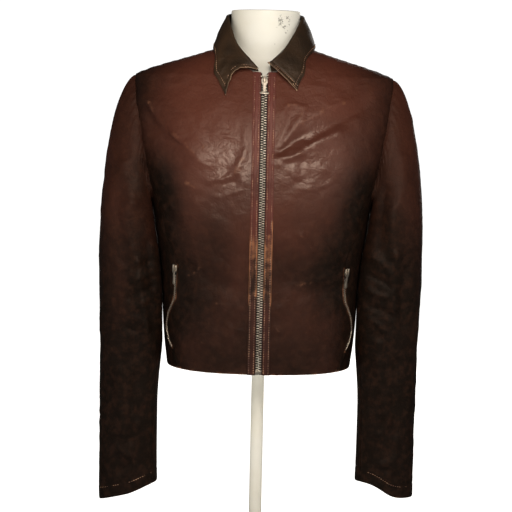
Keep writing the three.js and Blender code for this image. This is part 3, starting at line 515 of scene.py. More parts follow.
# Half width of the body at a depth, and the turn there or at a width.
def widthAtDepth(y, z):
    halfWidth, front, back, square = bodySection(z)
    share = np.minimum(1, np.abs(y) / np.where(y < 0, front, back))
    return halfWidth * (1 - share**square) ** (1 / square)


def turnAtDepth(y, z):
    halfWidth, front, back, _ = bodySection(z)
    return np.arctan2(widthAtDepth(y, z) / halfWidth, -y / np.where(y < 0, front, back))


def turnAtWidth(x, z):
    halfWidth, _, _, square = bodySection(z)
    share = np.minimum(1, x / halfWidth)
    return np.arctan2(share, (1 - share**square) ** (1 / square))


def mix(a, b, t):
    return a + (b - a) * t


# Length along each row or column of a grid, from its first point.
def runAlong(points, axis):
    length = np.linalg.norm(np.diff(points, axis=axis), axis=-1)
    start = np.zeros_like(np.take(points[..., 0], [0], axis))
    return np.concatenate([start, np.cumsum(length, axis=axis)], axis=axis)


# A thin shell from a grid of points that face outwards when columns run round and rows run up.
def cutPiece(name, points, material, wall, flip=False, tone=0.5, rub=0.0, polish=0.3):
    rows, columns = points.shape[:2]
    index = np.arange(rows * columns).reshape(rows, columns)
    a, b, c, d = index[:-1, :-1], index[:-1, 1:], index[1:, 1:], index[1:, :-1]
    order = (a, d, c, b) if flip else (a, b, c, d)
    faces = np.stack([corner.ravel() for corner in order], -1)
    mesh = bpy.data.meshes.new(name)
    mesh.from_pydata((points.reshape(-1, 3) * mm).tolist(), [], faces.tolist())
    for label, value in (("tone", tone), ("rub", rub), ("polish", polish)):
        layer = mesh.attributes.new(label, "FLOAT", "POINT")
        layer.data.foreach_set("value", np.broadcast_to(value, (rows, columns)).astype(np.float32).ravel())
    layer = mesh.uv_layers.new(name="cloth")
    uv = np.stack([runAlong(points, 1), runAlong(points, 0)], -1).reshape(-1, 2) * mm
    corners = np.empty(len(mesh.loops), np.int32)
    mesh.loops.foreach_get("vertex_index", corners)
    layer.data.foreach_set("uv", uv[corners].astype(np.float32).ravel())
    piece = bpy.data.objects.new(name, mesh)
    bpy.context.scene.collection.objects.link(piece)
    mesh.materials.append(material)
    thicken = piece.modifiers.new("wall", "SOLIDIFY")
    thicken.thickness = wall * mm
    thicken.offset = -1
    applyModifiers(piece)
    smooth(piece, 40)
    return piece


def pick(piece):
    bpy.ops.object.select_all(action="DESELECT")
    piece.select_set(True)
    bpy.context.view_layer.objects.active = piece


def applyModifiers(piece):
    pick(piece)
    for modifier in list(piece.modifiers):
        bpy.ops.object.modifier_apply(modifier=modifier.name)


def smooth(piece, degrees):
    pick(piece)
    bpy.ops.object.shade_smooth_by_angle(angle=math.radians(degrees))


# Hangs a piece on its body, in place of its solids; the material slot name is not used.
def settle(piece, body, slotName, *nodes):
    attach(piece, body)
    if nodes:
        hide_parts(*nodes)
    return piece


# Rounded, turned-in edge: how far the surface sinks at a distance from a seam or rim.
def turnedEdge(distance, depth=0.45, reach=2.0):
    return -depth * np.exp(-((distance / reach) ** 2))


# Short tucks that stand square to a seam, where the thread has drawn it up.
def puckers(run, distance, pitch, reach, height):
    wave = np.sin(2 * math.pi * run / pitch + 1.7 * np.sin(run / 19) + 0.9 * np.sin(run / 7.3))
    return height * wave * np.exp(-distance / reach) * (1 - np.exp(-((distance / 2.5) ** 2)))


def smoothStep(t):
    t = np.clip(t, 0, 1)
    return t * t * (3 - 2 * t)


# Sum of soft round patches: centre x and z, reach in x and z, amount.
def patchSum(patches, x, z):
    total = 0 * x
    for patchX, patchZ, reachX, reachZ, amount in patches:
        total = total + amount * np.exp(-((x - patchX) / reachX) ** 2 - ((z - patchZ) / reachZ) ** 2)
    return total


toneAndShade = {
    # sideways and low darken the tone towards the sides and the hem: painted shade, with some two-tone dye at
    # the sides
    "chest": 0.62, "sideways": -1.1, "low": -0.5, "back": -0.05, "cloudy": 0.1,
    "patches": [
        (-95, 690, 60, 70, 0.14), (60, 712, 50, 36, 0.12),         # red over the chest
        (-34, 470, 18, 50, 0.14), (62, 400, 44, 40, 0.16),         # red beside the zip
        # painted shade: the next two rows darken the hollows under the arms and the sides down to the waist
        (-152, 570, 26, 66, -0.3), (152, 580, 30, 60, -0.24),      # dark hollows under the arms
        (-100, 440, 34, 70, -0.16), (100, 440, 34, 70, -0.16),     # and down to the waist
    ],
}
gloss = {
    "least": 0.16, "back": 0.3,
    "patches": [(-50, 618, 52, 60, 0.8), (74, 640, 58, 62, 0.8)],  # polished by wear on the chest
}


# Tone from 0 dark to 1 red: random clouds and red patches of worn dye, with painted shade darker towards the
# hem and under the arms, and darker towards the sides partly from two-tone dye, partly painted shade.
def dyeAndShadeTone(x, z, turn):
    tone = toneAndShade["chest"] + toneAndShade["sideways"] * np.clip(np.abs(x) / 200 - 0.5, 0, 1)
    tone = tone + toneAndShade["cloudy"] * latticeNoise(x / 60, z / 75, 3) + toneAndShade["low"] * smoothStep((650 - z) / 200)
    tone = tone + patchSum(toneAndShade["patches"], x, z)
    return np.where(np.cos(turn) > 0, tone, tone + toneAndShade["back"])


# How far wear has polished the leather, from 0 dull to 1 glossy.
def polishAt(x, z, turn):
    polish = gloss["least"] + patchSum(gloss["patches"], x, z)
    return np.where(np.cos(turn) > 0, np.clip(polish, 0, 1), gloss["back"])


seamRows = {
    "body": np.linspace(jacket["hem"], jacket["underarm"], 104),
    "arm": 80, "shoulder": 54,
    "front": 60, "frontEdge": 4, "side": 44, "back": 129,          # points across each panel
}


# The long edge of a front or back: up the seam, round the armhole and along the shoulder.
def outerEdge(seamTurn, firstStation, lastStation):
    low = seamRows["body"]
    stations = np.linspace(firstStation, lastStation, seamRows["arm"])[1:]
    armDepth, armHeight = armhole(stations)
    top = np.linspace(jacket["shoulderTip"], jacket["neckSide"], seamRows["shoulder"])[1:]
    turn = np.concatenate([seamTurn(low), turnAtDepth(armDepth, armHeight), np.full(len(top), math.pi / 2)])
    return turn, np.concatenate([low, armHeight, top])


def frontSeamTurn(z):
    return turnAtWidth(princessSeam(z), z)


def backSeamTurn(z):
    return turnAtDepth(backSeam(z), z)


# Half width of the slot that the pocket zip lies in.
def pocketSlot(z):
    ends = np.minimum(z - jacket["pocketBottom"], jacket["pocketTop"] - z)
    return np.clip(ends / 5, 0, 1) * (jacket["pocketZip"] / 2 + jacket["seam"])


# How each kind of edge is finished: the depth and reach that it sinks by; pitch, reach and height of its
# tucks; and amount of rubbing, with its distance from the edge and its width.
outOfReach = 99   # further from an edge than any of its wear
panelEdges = {
    "seam": {"sink": (0.45, 2), "tucks": (15, 9), "rub": (0.22, 2, 2.5)},
    "pocket": {"sink": (0.7, 2), "rub": (0.5, 1, 3)},
    "rim": {"sink": (0.9, 1.8), "tucks": (34, 16, 0.7), "rub": (0.45, 0, 4)},
}


# Wear that every body panel shares: rubbed along its edges and on the crests of creases.
def finishPanel(points, normals, turn, edges, tuckHeight=0.7):
    relief = np.zeros_like(turn)
    rub = np.clip(bodyCreases(turn, points) - 0.9, 0, 1) * 0.35
    for run, distance, kind in edges:
        edge = panelEdges[kind]
        relief = relief + turnedEdge(distance, *edge["sink"])
        if "tucks" in edge:
            pitch, reach, height = (*edge["tucks"], tuckHeight)[:3]
            relief = relief + puckers(run, distance, pitch, reach, height)
        amount, middle, width = edge["rub"]
        rub = rub + amount * np.exp(-((distance - middle) / width) ** 2)
    return points + normals * relief[..., None], rub


# For each edge of a grid, how far along it and how far from it each point is.
def edgeRuns(points):
    across, up = runAlong(points, 1), runAlong(points, 0)
    return {
        "first": (up, across), "last": (up, across[:, -1:] - across),
        "bottom": (across, up), "top": (across, up[-1:] - up),
    }


def frontPanel(word, side):
    edgeTurn, edgeHeight = outerEdge(frontSeamTurn, jacket["frontStation"], 0)
    startHeight = frontRise(edgeHeight)
    startWidth = bodySection(startHeight)[0]
    startTurn, bandTurn = jacket["bandInner"] / startWidth, jacket["bandOuter"] / startWidth
    slot = np.where(edgeHeight < jacket["underarm"], pocketSlot(edgeHeight), 0)
    room = (jacket["seam"] * 0.7 + slot) / bodySection(edgeHeight)[0]
    shoulderRise = jacket["neckSide"] - jacket["shoulderTip"]
    neckShare = np.clip((edgeHeight - jacket["shoulderTip"]) / shoulderRise, 0, 1)
    share = np.linspace(0, 1, seamRows["front"])[None, :]
    turn = mix(bandTurn[:, None], (edgeTurn - room)[:, None], share)
    neckRise = (neckline(np.degrees(turn)) - jacket["neckFront"]) / (jacket["neckSide"] - jacket["neckFront"])
    bend = mix(share, np.where(share > 0, neckRise, 0), neckShare[:, None])
    height = mix(startHeight[:, None], edgeHeight[:, None], bend)
    inner = np.linspace(0, 1, seamRows["frontEdge"], endpoint=False)[None, :]
    turn = np.concatenate([mix(startTurn[:, None], bandTurn[:, None], inner), turn], 1)
    height = np.concatenate([np.repeat(startHeight[:, None], seamRows["frontEdge"], 1), height], 1)
    points, normals = skin(side * turn, height)
    runs = edgeRuns(points)
    pocketRows = (edgeHeight > jacket["pocketBottom"]) & (edgeHeight < jacket["pocketTop"])
    away = np.where(pocketRows[:, None], outOfReach, runs["last"][1])
    byPocket = np.where(pocketRows[:, None], runs["last"][1], outOfReach)
    edges = [(runs["last"][0], away, "seam"), (runs["last"][0], byPocket, "pocket"), (*runs["bottom"], "rim")]
    points, rub = finishPanel(points, normals, turn, edges)
    tone = dyeAndShadeTone(points[..., 0], points[..., 2], turn)
    polish = polishAt(points[..., 0], points[..., 2], turn)
    return cutPiece(f"front_{word}", points, bodyLeather, jacket["wall"], side < 0, tone, rub, polish)


def sidePanel(word, side):
    z = seamRows["body"]
    stations = np.linspace(jacket["frontStation"], jacket["backStation"], seamRows["side"])
    topDepth, topHeight = armhole(stations)
    topTurn = turnAtDepth(topDepth, topHeight)
    share = np.linspace(0, 1, seamRows["side"])
    rise = ((z - jacket["hem"]) / (jacket["underarm"] - jacket["hem"]))[:, None]
    height = mix(jacket["hem"], topHeight[None, :], rise)
    straight = mix(frontSeamTurn(z)[:, None], backSeamTurn(z)[:, None], share[None, :])
    turn = straight + (topTurn[None, :] - straight[-1:]) * rise**4
    halfWidth = bodySection(z)[0]
    room = (jacket["seam"] / 2 + pocketSlot(z)) / halfWidth
    turn[:, :4] += room[:, None] * np.array([[1, 0.75, 0.5, 0.25]])
    turn[:, -1] -= jacket["seam"] / 2 / halfWidth
    points, normals = skin(side * turn, height)
    runs = edgeRuns(points)
    pocketRows = (z > jacket["pocketBottom"]) & (z < jacket["pocketTop"])
    away = np.where(pocketRows[:, None], outOfReach, runs["first"][1])
    byPocket = np.where(pocketRows[:, None], runs["first"][1], outOfReach)
    edges = [(runs["first"][0], away, "seam"), (runs["first"][0], byPocket, "pocket"),
             (*runs["last"], "seam"), (*runs["top"], "seam"), (*runs["bottom"], "rim")]
    points, rub = finishPanel(points, normals, turn, edges, 0.35)
    # the side panels are painted a little darker: partly two-tone dye, partly painted shade where they turn
    # from the lamps
    tone = dyeAndShadeTone(points[..., 0], points[..., 2], turn) - 0.1
    polish = polishAt(points[..., 0], points[..., 2], turn)
    return cutPiece(f"side_{word}", points, bodyLeather, jacket["wall"], side < 0, tone, rub, polish)


def backPanel():
    edgeTurn, edgeHeight = outerEdge(backSeamTurn, jacket["backStation"], jacket["wholeArmhole"])
    middle = np.interp(edgeHeight, [jacket["hem"], jacket["neckSide"]], [jacket["hem"], jacket["neckBack"]])
    reach = math.pi - edgeTurn - jacket["seam"] / 2 / bodySection(edgeHeight)[0]
    across = (1 - 2 * np.linspace(0, 1, seamRows["back"]))[None, :]
    height = mix(middle[:, None], edgeHeight[:, None], np.abs(across))
    turn = math.pi - across * reach[:, None]
    points, normals = skin(turn, height)
    runs = edgeRuns(points)
    edges = [(*runs["first"], "seam"), (*runs["last"], "seam"), (*runs["bottom"], "rim")]
    points, rub = finishPanel(points, normals, turn, edges, 0.6)
    tone = dyeAndShadeTone(points[..., 0], points[..., 2], turn)
    return cutPiece("back", points, bodyLeather, jacket["wall"], False, tone, rub, 0.35)


print("body panels")
words = (("left", 1), ("right", -1))   # the wearer's left is on the side of +X
for word, side in words:
    for kind, make in (("front", frontPanel), ("side", sidePanel)):
        piece = settle(make(word, side), "jacket", "leather_body", f"{kind}_{word}")
back = settle(backPanel(), "jacket", "leather_body", "back")


# height, outer half width, inner half width, front depth, back depth
sleeveSection = smoothTable([
    (90, 248, 155, -56, 2), (170, 248, 157.5, -54, 8), (245, 249, 158, -53, 16), (340, 249.5, 151, -55, 28),
    (396, 251, 143.5, -57, 34), (444, 253, 144.5, -60, 40), (500, 253, 152, -64, 50),
    (535, 252, 160, -66, 57),
])
# angle round the sleeve, from the outside to the front, by the armhole's stations
stationAngle = smoothTable([(0, 0), (8, 0.75 * math.pi), (12, 1.25 * math.pi), (20, 2 * math.pi)])
sleeve = {
    "square": 2.2, "armRadius": 42,
    "clearance": 2.2, "softness": 2, "flare": 0.4,                 # how it lies beside the body
    "underFirst": 9, "underLast": 14, "room": 0.02,                # stations of the two long seams
    "cuff": {1: 115.5, -1: 104.5}, "cuffSlant": 13.5, "cuffWave": 2,
    "foldHeight": 1.5, "softHeight": 0.9, "fineHeight": 0.35,
    "cuffHem": 22, "armholeMiddle": 655,
    "capRows": 64, "armRows": 160, "topColumns": 100, "underColumns": 40,
}
# folds as from angle, z to angle, z (degrees round from the outside, a quarter turn in front)
sleeveFolds = {
    "right": [
        (92, 560, 102, 470, 7, 2.6, 5), (102, 470, 122, 365, 6, 2.4, 3), (78, 590, 84, 500, 9, -2.2, 4),
        (120, 500, 136, 420, 7, -2.2, 3), (60, 470, 112, 430, 7, 1.8, -4), (120, 470, 84, 452, 5, -1.7, 2),
        (128, 452, 92, 440, 4.5, 1.7, 2), (126, 430, 86, 414, 5, -1.8, 2), (130, 414, 96, 398, 4.5, 1.6, 2),
        (96, 384, 126, 366, 5, 1.6, -2), (80, 368, 100, 362, 4, -1.4, 0), (70, 300, 84, 200, 8, 2, 5),
        (112, 290, 104, 190, 8, -1.8, 4), (92, 240, 122, 214, 6, 1.3, 3), (60, 180, 100, 164, 6, 1.3, 3),
        (100, 150, 70, 138, 5, -1.2, 2), (40, 420, 20, 360, 8, 1.6, 3), (300, 470, 240, 446, 7, 2, 3),
        (300, 440, 236, 420, 6, -1.8, 2), (290, 412, 244, 396, 6, 1.7, 2), (280, 340, 270, 220, 9, 1.8, 4),
        (250, 560, 262, 480, 9, 1.8, 3), (66, 620, 100, 560, 8, 1.8, 3),
    ],
    "left": [
        (92, 560, 84, 490, 7, 2.4, -4), (84, 490, 76, 405, 7, 2.5, -3), (104, 590, 108, 500, 9, -2.2, -4),
        (62, 470, 58, 380, 7, -2, -3), (126, 486, 92, 462, 6, 1.8, 4), (124, 456, 88, 440, 5, -1.7, 2),
        (130, 436, 94, 424, 4.5, 1.7, -2), (122, 408, 84, 396, 5, -1.6, 2), (126, 388, 96, 372, 5, 1.6, 2),
        (108, 350, 96, 240, 8, 2, -5), (74, 320, 68, 210, 8, -1.9, -4), (84, 230, 112, 206, 6, 1.4, 3),
        (60, 172, 104, 160, 6, 1.3, 3), (90, 150, 64, 140, 5, -1.2, 2), (36, 430, 24, 350, 8, 1.6, 3),
        (300, 466, 240, 448, 7, 2, 3), (296, 436, 238, 420, 6, -1.8, 2), (288, 410, 246, 396, 6, 1.7, 2),
        (276, 340, 266, 220, 9, 1.8, 4), (250, 560, 262, 480, 9, 1.8, 3), (60, 640, 84, 570, 8, 1.7, 3),
    ],
}


def cuffRim(angle, side):
    wave = sleeve["cuffWave"] * np.sin(3 * angle + side)
    return sleeve["cuff"][side] - sleeve["cuffSlant"] * np.cos(angle) + wave


# The tube of the arm, pushed outwards where it would touch the body.
def armPoint(angle, z, side):
    outer, inner, front, back = sleeveSection(z)
    halfWidth, halfDepth = (outer - inner) / 2, (back - front) / 2
    cosine, sine, square = np.cos(angle), np.sin(angle), sleeve["square"]
    reach = (np.abs(cosine / halfWidth) ** square + np.abs(sine / halfDepth) ** square) ** (-1 / square)
    y = (front + back) / 2 - reach * sine
    free = (outer + inner) / 2 + reach * cosine
    kept = widthAtDepth(y, z) + sleeve["clearance"] - sleeve["flare"] * np.maximum(0, jacket["hem"] - z)
    x = (free + kept + np.hypot(free - kept, sleeve["softness"])) / 2
    return np.stack([side * x, y, z + 0 * x], -1)


# The whole sleeve: the cap from the armhole to the biceps for 0 to 1, then the tube to the cuff.
def sleevePoint(station, along, side):
    turned = np.mod(station, jacket["wholeArmhole"])
    angle = stationAngle(turned)
    tube = armPoint(angle, mix(jacket["biceps"], cuffRim(angle, side), np.maximum(along, 1) - 1), side)
    y, z = armhole(turned)
    start = np.stack([side * (widthAtDepth(y, z) + 0.8), y, z], -1)
    end = armPoint(angle, np.full_like(angle, jacket["biceps"]), side)
    length = np.linalg.norm(end - start, axis=-1)[..., None]
    sine, cosine = np.sin(angle), np.cos(angle)
    leave = [side * (0.55 + 0.35 * cosine**2), -0.45 * sine, -0.45 - 0.25 * sine**2]
    leave = np.stack(leave, -1) * length / 2
    arrive = np.array([side * 0.04, 0, -1]) * length
    t = np.minimum(along, 1)[..., None]
    cap = (start * (2 * t**3 - 3 * t**2 + 1) + leave * (t**3 - 2 * t**2 + t)
           + end * (3 * t**2 - 2 * t**3) + arrive * (t**3 - t**2))
    return np.where(along[..., None] > 1, tube, cap)


def sleevePanel(name, word, side, first, last, columns):
    cap, arm = np.linspace(0, 1, sleeve["capRows"]), np.linspace(1, 2, sleeve["armRows"])
    rows = np.concatenate([cap, arm[1:]])[::-1]
    stations = np.linspace(first + sleeve["room"], last - sleeve["room"], columns)
    along, station = np.meshgrid(rows, stations, indexing="ij")

    def surface(u, v):
        return sleevePoint(u, v, side)

    points = surface(station, along)
    normals = normalOf(surface, station, along) * side
    angle = np.mod(stationAngle(np.mod(station, jacket["wholeArmhole"])), 2 * math.pi)
    around = sleeve["armRadius"] * angle
    degree = sleeve["armRadius"] * math.radians(1)
    folds = [(a0 * degree, z0, a1 * degree, z1, *size) for a0, z0, a1, z1, *size in sleeveFolds[word]]
    z = points[..., 2]
    relief = sleeve["foldHeight"] * foldSum(folds, around, z, 1.7)
    relief = relief + sleeve["softHeight"] * crumple(around, z * 0.8, 30, 31 + side)
    relief = relief + sleeve["fineHeight"] * crumple(around, z, 12, 47 + side)
    nearBody = np.clip((np.cos(angle) + 0.92) / 0.4, 0.1, 1)
    creases = relief * nearBody * np.clip(along * 2.2, 0, 1)
    runs = edgeRuns(points)
    fromCuff, fromCap = runs["bottom"][1], runs["top"][1]
    relief = creases + turnedEdge(fromCap, 0.3) + puckers(runs["top"][0], fromCap, 13, 12, 0.9) * nearBody
    hemGroove = 0.5 * np.exp(-(((fromCuff - sleeve["cuffHem"]) / 1.6) ** 2))
    relief = relief + turnedEdge(fromCuff, 0.9, 1.8) - hemGroove
    for key in ("first", "last"):
        run, distance = runs[key]
        relief = relief + turnedEdge(distance) + puckers(run, distance, 18, 8, 0.35)
    points = points + normals * relief[..., None]
    # seam allowance: the cap's edge goes on through the armhole, just clear of the body panels
    middle = np.array([0, 0, sleeve["armholeMiddle"]])
    inward = (middle - points[-1]) * np.array([0, 1, 1])
    inward = inward / np.linalg.norm(inward, axis=-1, keepdims=True)
    across = np.array([side * jacket["wall"], 0, 0])
    allowance = [points[-1] + (inward * 0.5 - across) * k for k in (1, 2)]
    points = np.concatenate([points, np.stack(allowance)], 0)
    measures = (z, angle, around, fromCuff, fromCap, creases)
    z, angle, around, fromCuff, fromCap, creases = [
        np.concatenate([part, part[-1:], part[-1:]], 0) for part in measures]
    rub = np.clip(creases - 1.6, 0, 1) * 0.12
    rub = rub + 0.3 * np.exp(-(fromCuff / 5) ** 2) + 0.15 * np.exp(-(fromCap / 4) ** 2)
    # painted shade: darker towards the cuff, on the side facing the body and in the fold where the sleeve's
    # front meets the body; the noise is the leather's own uneven tone
    tone = 0.24 - 0.46 * smoothStep((680 - z) / 420) + 0.08 * latticeNoise(around / 50, z / 90, 60 + side)
    tone = tone - 0.2 * np.clip(-np.cos(angle) - 0.2, 0, 1) - 0.1 * np.exp(-((angle - 1.75) / 0.3) ** 2)
    piece = cutPiece(name, points, bodyLeather, jacket["wall"], side > 0, tone, rub, 0.1)
    return settle(piece, "jacket", "leather_body", name)


print("sleeves")
for word, side in words:
    first, last, whole = sleeve["underFirst"], sleeve["underLast"], jacket["wholeArmhole"]
    under = sleevePanel(f"sleeve_under_{word}", word, side, first, last, sleeve["underColumns"])
    top = sleevePanel(f"sleeve_top_{word}", word, side, last, first + whole, sleeve["topColumns"])


# share from the front end to the centre back, turn of the neckline below, fold line x, y, z,
# turn and height of the body under the outer edge, shift to the wearer's right
collarLines = smoothTable([
    (0, 2.7, 9, -71, 772, 15.2, 731, 2.5), (0.15, 6, 21, -66, 783, 18, 751, 4),
    (0.33, 14, 39, -49, 803, 26.5, 776, 4.5), (0.48, 30, 51.5, -30, 828, 47, 792, 2.5),
    (0.62, 90, 58, 1, 848, 90, 800.5, 0.7), (0.75, 115, 53, 33, 852, 115, 799, 0),
    (0.88, 147, 32, 54, 853, 147, 796, 0), (1, 180, 0, 61, 853, 180, 795, 0),
    (1.12, 213, -32, 54, 853, 213, 796, 0),
])
collar = {
    "foldRadius": 3.4, "foldShare": 0.12, "lift": 5, "puff": 2, "standWall": 1.2, "standRaise": 0.2,
    "tipDrop": 4, "curlReach": 0.3, "curlArch": 0.12, "curlLift": 3,
    "columns": 220, "foldRows": 12, "fallRows": 60, "standRows": 22,
    "standFrom": 0.05, "standReach": 0.985, "fallReach": 0.998,    # shares of its height and its length
}


# The collar's lines at a place along it, -1 at the wearer's right end and 1 at the left.
def collarAt(s):
    side = np.where(s < 0, -1, 1)
    share = 1 - np.abs(s)
    end = np.maximum(0, 1 - share / 0.3) ** 2
    neckTurn, x, y, z, edgeTurn, edgeHeight, shift = collarLines(share)
    fold = np.stack([side * x - shift, y, z + 4 * side * end], -1)
    edgeHeight = edgeHeight + 0.3 * side * shift + collar["tipDrop"] * side * end
    return side, np.radians(neckTurn), fold, np.radians(edgeTurn - 0.5 * side * shift), edgeHeight


# The stand runs from the fold down to the neckline, and the fall over the fold and down to its edge.
def standPoint(s, t):
    side, neckTurn, fold, _, _ = collarAt(s)
    low = bodyPoint(side * neckTurn, neckline(np.degrees(neckTurn)))
    low[..., 2] += collar["standRaise"]
    return mix(fold, low, t[..., None])


def fallPoint(place, t):
    share = np.clip((t - collar["foldShare"]) / (1 - collar["foldShare"]), 0, 1)
    # the wearer's right front edge has curled up and drawn back
    nearEnd = np.maximum(0, (-place - 1 + collar["curlReach"]) / collar["curlReach"])
    curl = nearEnd * np.sin(math.pi * share**0.75)
    s = place + collar["curlArch"] * curl
    side, _, fold, edgeTurn, edgeHeight = collarAt(s)
    along = collarAt(s + 0.01)[2] - collarAt(s - 0.01)[2]
    along = along / np.linalg.norm(along, axis=-1, keepdims=True)
    level = fold * np.array([1, 1, 0])
    out = level - along * np.sum(level * along, -1, keepdims=True)
    out = out / np.linalg.norm(out, axis=-1, keepdims=True)
    up = np.cross(along, out)
    bend = np.radians(mix(-30, 90, np.minimum(1, t / collar["foldShare"])))[..., None]
    start = fold + collar["foldRadius"] * (out * np.sin(bend) + up * np.cos(bend))
    edge = bodyPoint(side * edgeTurn, edgeHeight)
    edge = edge + normalOf(bodyPoint, side * edgeTurn, edgeHeight) * collar["lift"]
    lift = collar["puff"] * np.sin(math.pi * share) + collar["curlLift"] * curl**2
    return mix(start, edge, share[..., None]) + out * lift[..., None]


def collarPanel(name, surface, rows, reach, wall, relief, tone, rub):
    t, s = np.meshgrid(rows, reach * np.linspace(-1, 1, collar["columns"]), indexing="ij")
    points, normals = surface(s, t), normalOf(surface, s, t)
    points = points + normals * relief(s, t, points)[..., None]
    return cutPiece(name, points, collarLeather, wall, False, tone(s, t, points), rub(s, t, points))


def fallRelief(s, t, points):
    runs = edgeRuns(points)
    ends = np.minimum(runs["first"][1], runs["last"][1])
    rim = np.minimum(ends, runs["top"][1])
    groove = -0.5 * np.exp(-(((rim - 6) / 1.3) ** 2))
    soft = 0.6 * crumple(250 * s, points[..., 2], 22, 71) * np.clip(t * 3 - 0.4, 0, 1)
    # the curled edge stands up and is wavy, the other front edge is a thick fold
    wave = np.clip((t - 0.12) * 3, 0, 1) * np.clip((1 - t) * 5, 0, 1)
    ripple = 2.4 + 0.9 * np.sin(t * 23) + 0.5 * np.sin(t * 41)
    rolled = np.exp(-(runs["first"][1] / 8) ** 2) * wave * ripple
    thick = 1.6 * np.exp(-(runs["last"][1] / 4) ** 2) * wave
    return turnedEdge(rim, 0.8, 1.8) + groove + soft + rolled + thick


# Redder where the dye has worn at the right front edge and at the outer edge.
def fallTone(s, t, points):
    red = np.exp(-(((s + 0.975) / 0.04) ** 2) - ((t - 0.24) / 0.12) ** 2)
    red = red + 0.7 * np.exp(-(((s + 0.66) / 0.07) ** 2) - ((t - 0.85) / 0.2) ** 2)
    return 0.3 + 0.2 * latticeNoise(s * 9 + 4, t * 3, 81) + 0.6 * red


def fallRub(s, t, points):
    runs = edgeRuns(points)
    sideRims = np.minimum(runs["first"][1], runs["last"][1])
    rub = 0.6 * np.exp(-(sideRims / 1.2) ** 2) + 0.3 * np.exp(-(runs["top"][1] / 1.8) ** 2)
    return rub + 0.16 * np.exp(-(((t - 0.08) / 0.08) ** 2)) * (0.5 + 0.5 * np.abs(s))


print("collar")
def plain(s, t, points):
    return 0 * s


def standTone(s, t, points):
    return 0.3 + 0 * s


standRows = np.linspace(collar["standFrom"], 1, collar["standRows"])
stand = collarPanel("collar_stand", standPoint, standRows, collar["standReach"], collar["standWall"],
                    plain, standTone, plain)
fallRows = np.concatenate([
    np.linspace(0, collar["foldShare"], collar["foldRows"]),
    np.linspace(collar["foldShare"], 1, collar["fallRows"])[1:],
])
fall = collarPanel("collar_fall", fallPoint, fallRows, collar["fallReach"], jacket["wall"],
                   fallRelief, fallTone, fallRub)
for piece, kind in ((stand, "stand"), (fall, "fall")):
    settle(piece, "jacket", "leather_collar", f"collar_{kind}")


zipParts = {
    "chainBottom": 315.5, "chainTop": 763, "pitch": 3.75, "tooth": (4.2, 1.55, 2.6),
    "chainLift": 1, "chainWall": 2.6,
    "slider": 750, "parting": 3.4, "partingRun": 14,               # the halves part above the slider
    "tapeInner": 0.5, "tapeOuter": 13, "tapeLift": -2.3, "tapeWall": 0.7, "tapeColumns": 6,
    "bandLift": 1.5, "bandWall": 1.2, "bandColumns": 15, "railCell": 2.5,
    "bandFlat": (0.012, 0.46), "tapeFlat": (0.0125, 0.46),
}
# A band is puffed between its two rows of stitches and drawn in at each.
bandStitches = (7.6, 14.6)
bandWear = {"left": (395, 560), "right": (400, 540)}               # heights between which it is worn bare


# How far the two halves have parted at a height, above the slider.
def parted(z):
    return zipParts["parting"] * np.clip((z - zipParts["slider"] + 2) / zipParts["partingRun"], 0, 1) ** 1.2


# A strip beside the middle of the front, from hem to neck.
def rail(name, side, part, inner, outer, material, relief, rub, opening=0.0):
    z = np.arange(jacket["hem"], jacket["neckFront"] + 0.1, zipParts["railCell"])
    z[-1] = jacket["neckFront"]
    columns = zipParts[part + "Columns"]
    x = mix(inner + opening * parted(z)[:, None], outer, np.linspace(0, 1, columns)[None, :])
    height = np.repeat(z[:, None], columns, 1)
    points, normals = skin(side * x / bodySection(height)[0], height)
    points = points + normals * (zipParts[part + "Lift"] + relief(x, height))[..., None]
    tone = dyeAndShadeTone(side * x, height, 0 * x) + 0.12 * latticeNoise(x / 9, height / 40, 5)
    return cutPiece(name, points, material, zipParts[part + "Wall"], side < 0, tone, rub(x, height), 0.4)


def fromBandEdge(x):
    return np.minimum(x - jacket["bandInner"], jacket["bandOuter"] - x)


def bandRelief(side):
    def relief(x, z):
        height = turnedEdge(fromBandEdge(x), 0.8, 1.2) + 0.45 * crumple(x * 2, z, 17, 91 + side)
        for at in bandStitches:
            height = height - 0.55 * np.exp(-((x - at) ** 2))
        return height
    return relief


def bandRub(word):
    low, high = bandWear[word]

    def rub(x, z):
        worn = np.clip((z - low) / 30, 0, 1) * np.clip((high - z) / 30, 0, 1)
        edge = np.exp(-(fromBandEdge(x) / 1.3) ** 2)
        return worn * (0.3 + 0.24 * latticeNoise(x / 6, z / 14, 97) + 0.3 * edge) + 0.14 * edge
    return rub


def flatTape(x, z):
    return 0 * x


print("zips")
for word, side in words:
    band = rail(f"band_{word}", side, "band", jacket["bandInner"], jacket["bandOuter"], edgeLeather,
                bandRelief(side), bandRub(word))
    settle(band, "jacket", "leather_edge", f"band_{word}")
    tape = rail(f"zip_tape_{word}", side, "tape", zipParts["tapeInner"], zipParts["tapeOuter"], tapeCotton,
                flatTape, flatTape, 1.0)
    settle(tape, "jacket", "zip_tape", f"zip_tape_{word}")


# Across, up and out directions at a place on the body, as the hardware is set.
def standOff(turn, z, lift=0.0):
    turn, z = np.array(turn, float), np.array(z, float)
    normal = Vector(normalOf(bodyPoint, turn, z))
    point = Vector(bodyPoint(turn, z)) + normal * lift
    across = Vector((0, 0, 1)).cross(normal).normalized()
    up = normal.cross(across)
    return Matrix.Translation(point * mm) @ Matrix((across, up, normal)).transposed().to_4x4()


# A block of a size in millimetres, to be shaped in edit mode.
def block(name, centre, size):
    bpy.ops.object.select_all(action="DESELECT")
    bpy.ops.mesh.primitive_cube_add(size=1, location=[v * mm for v in centre], scale=[v * mm for v in size])
    piece = bpy.context.object
    piece.name = name
    bpy.ops.object.transform_apply(location=True, rotation=True, scale=True)
    return piece


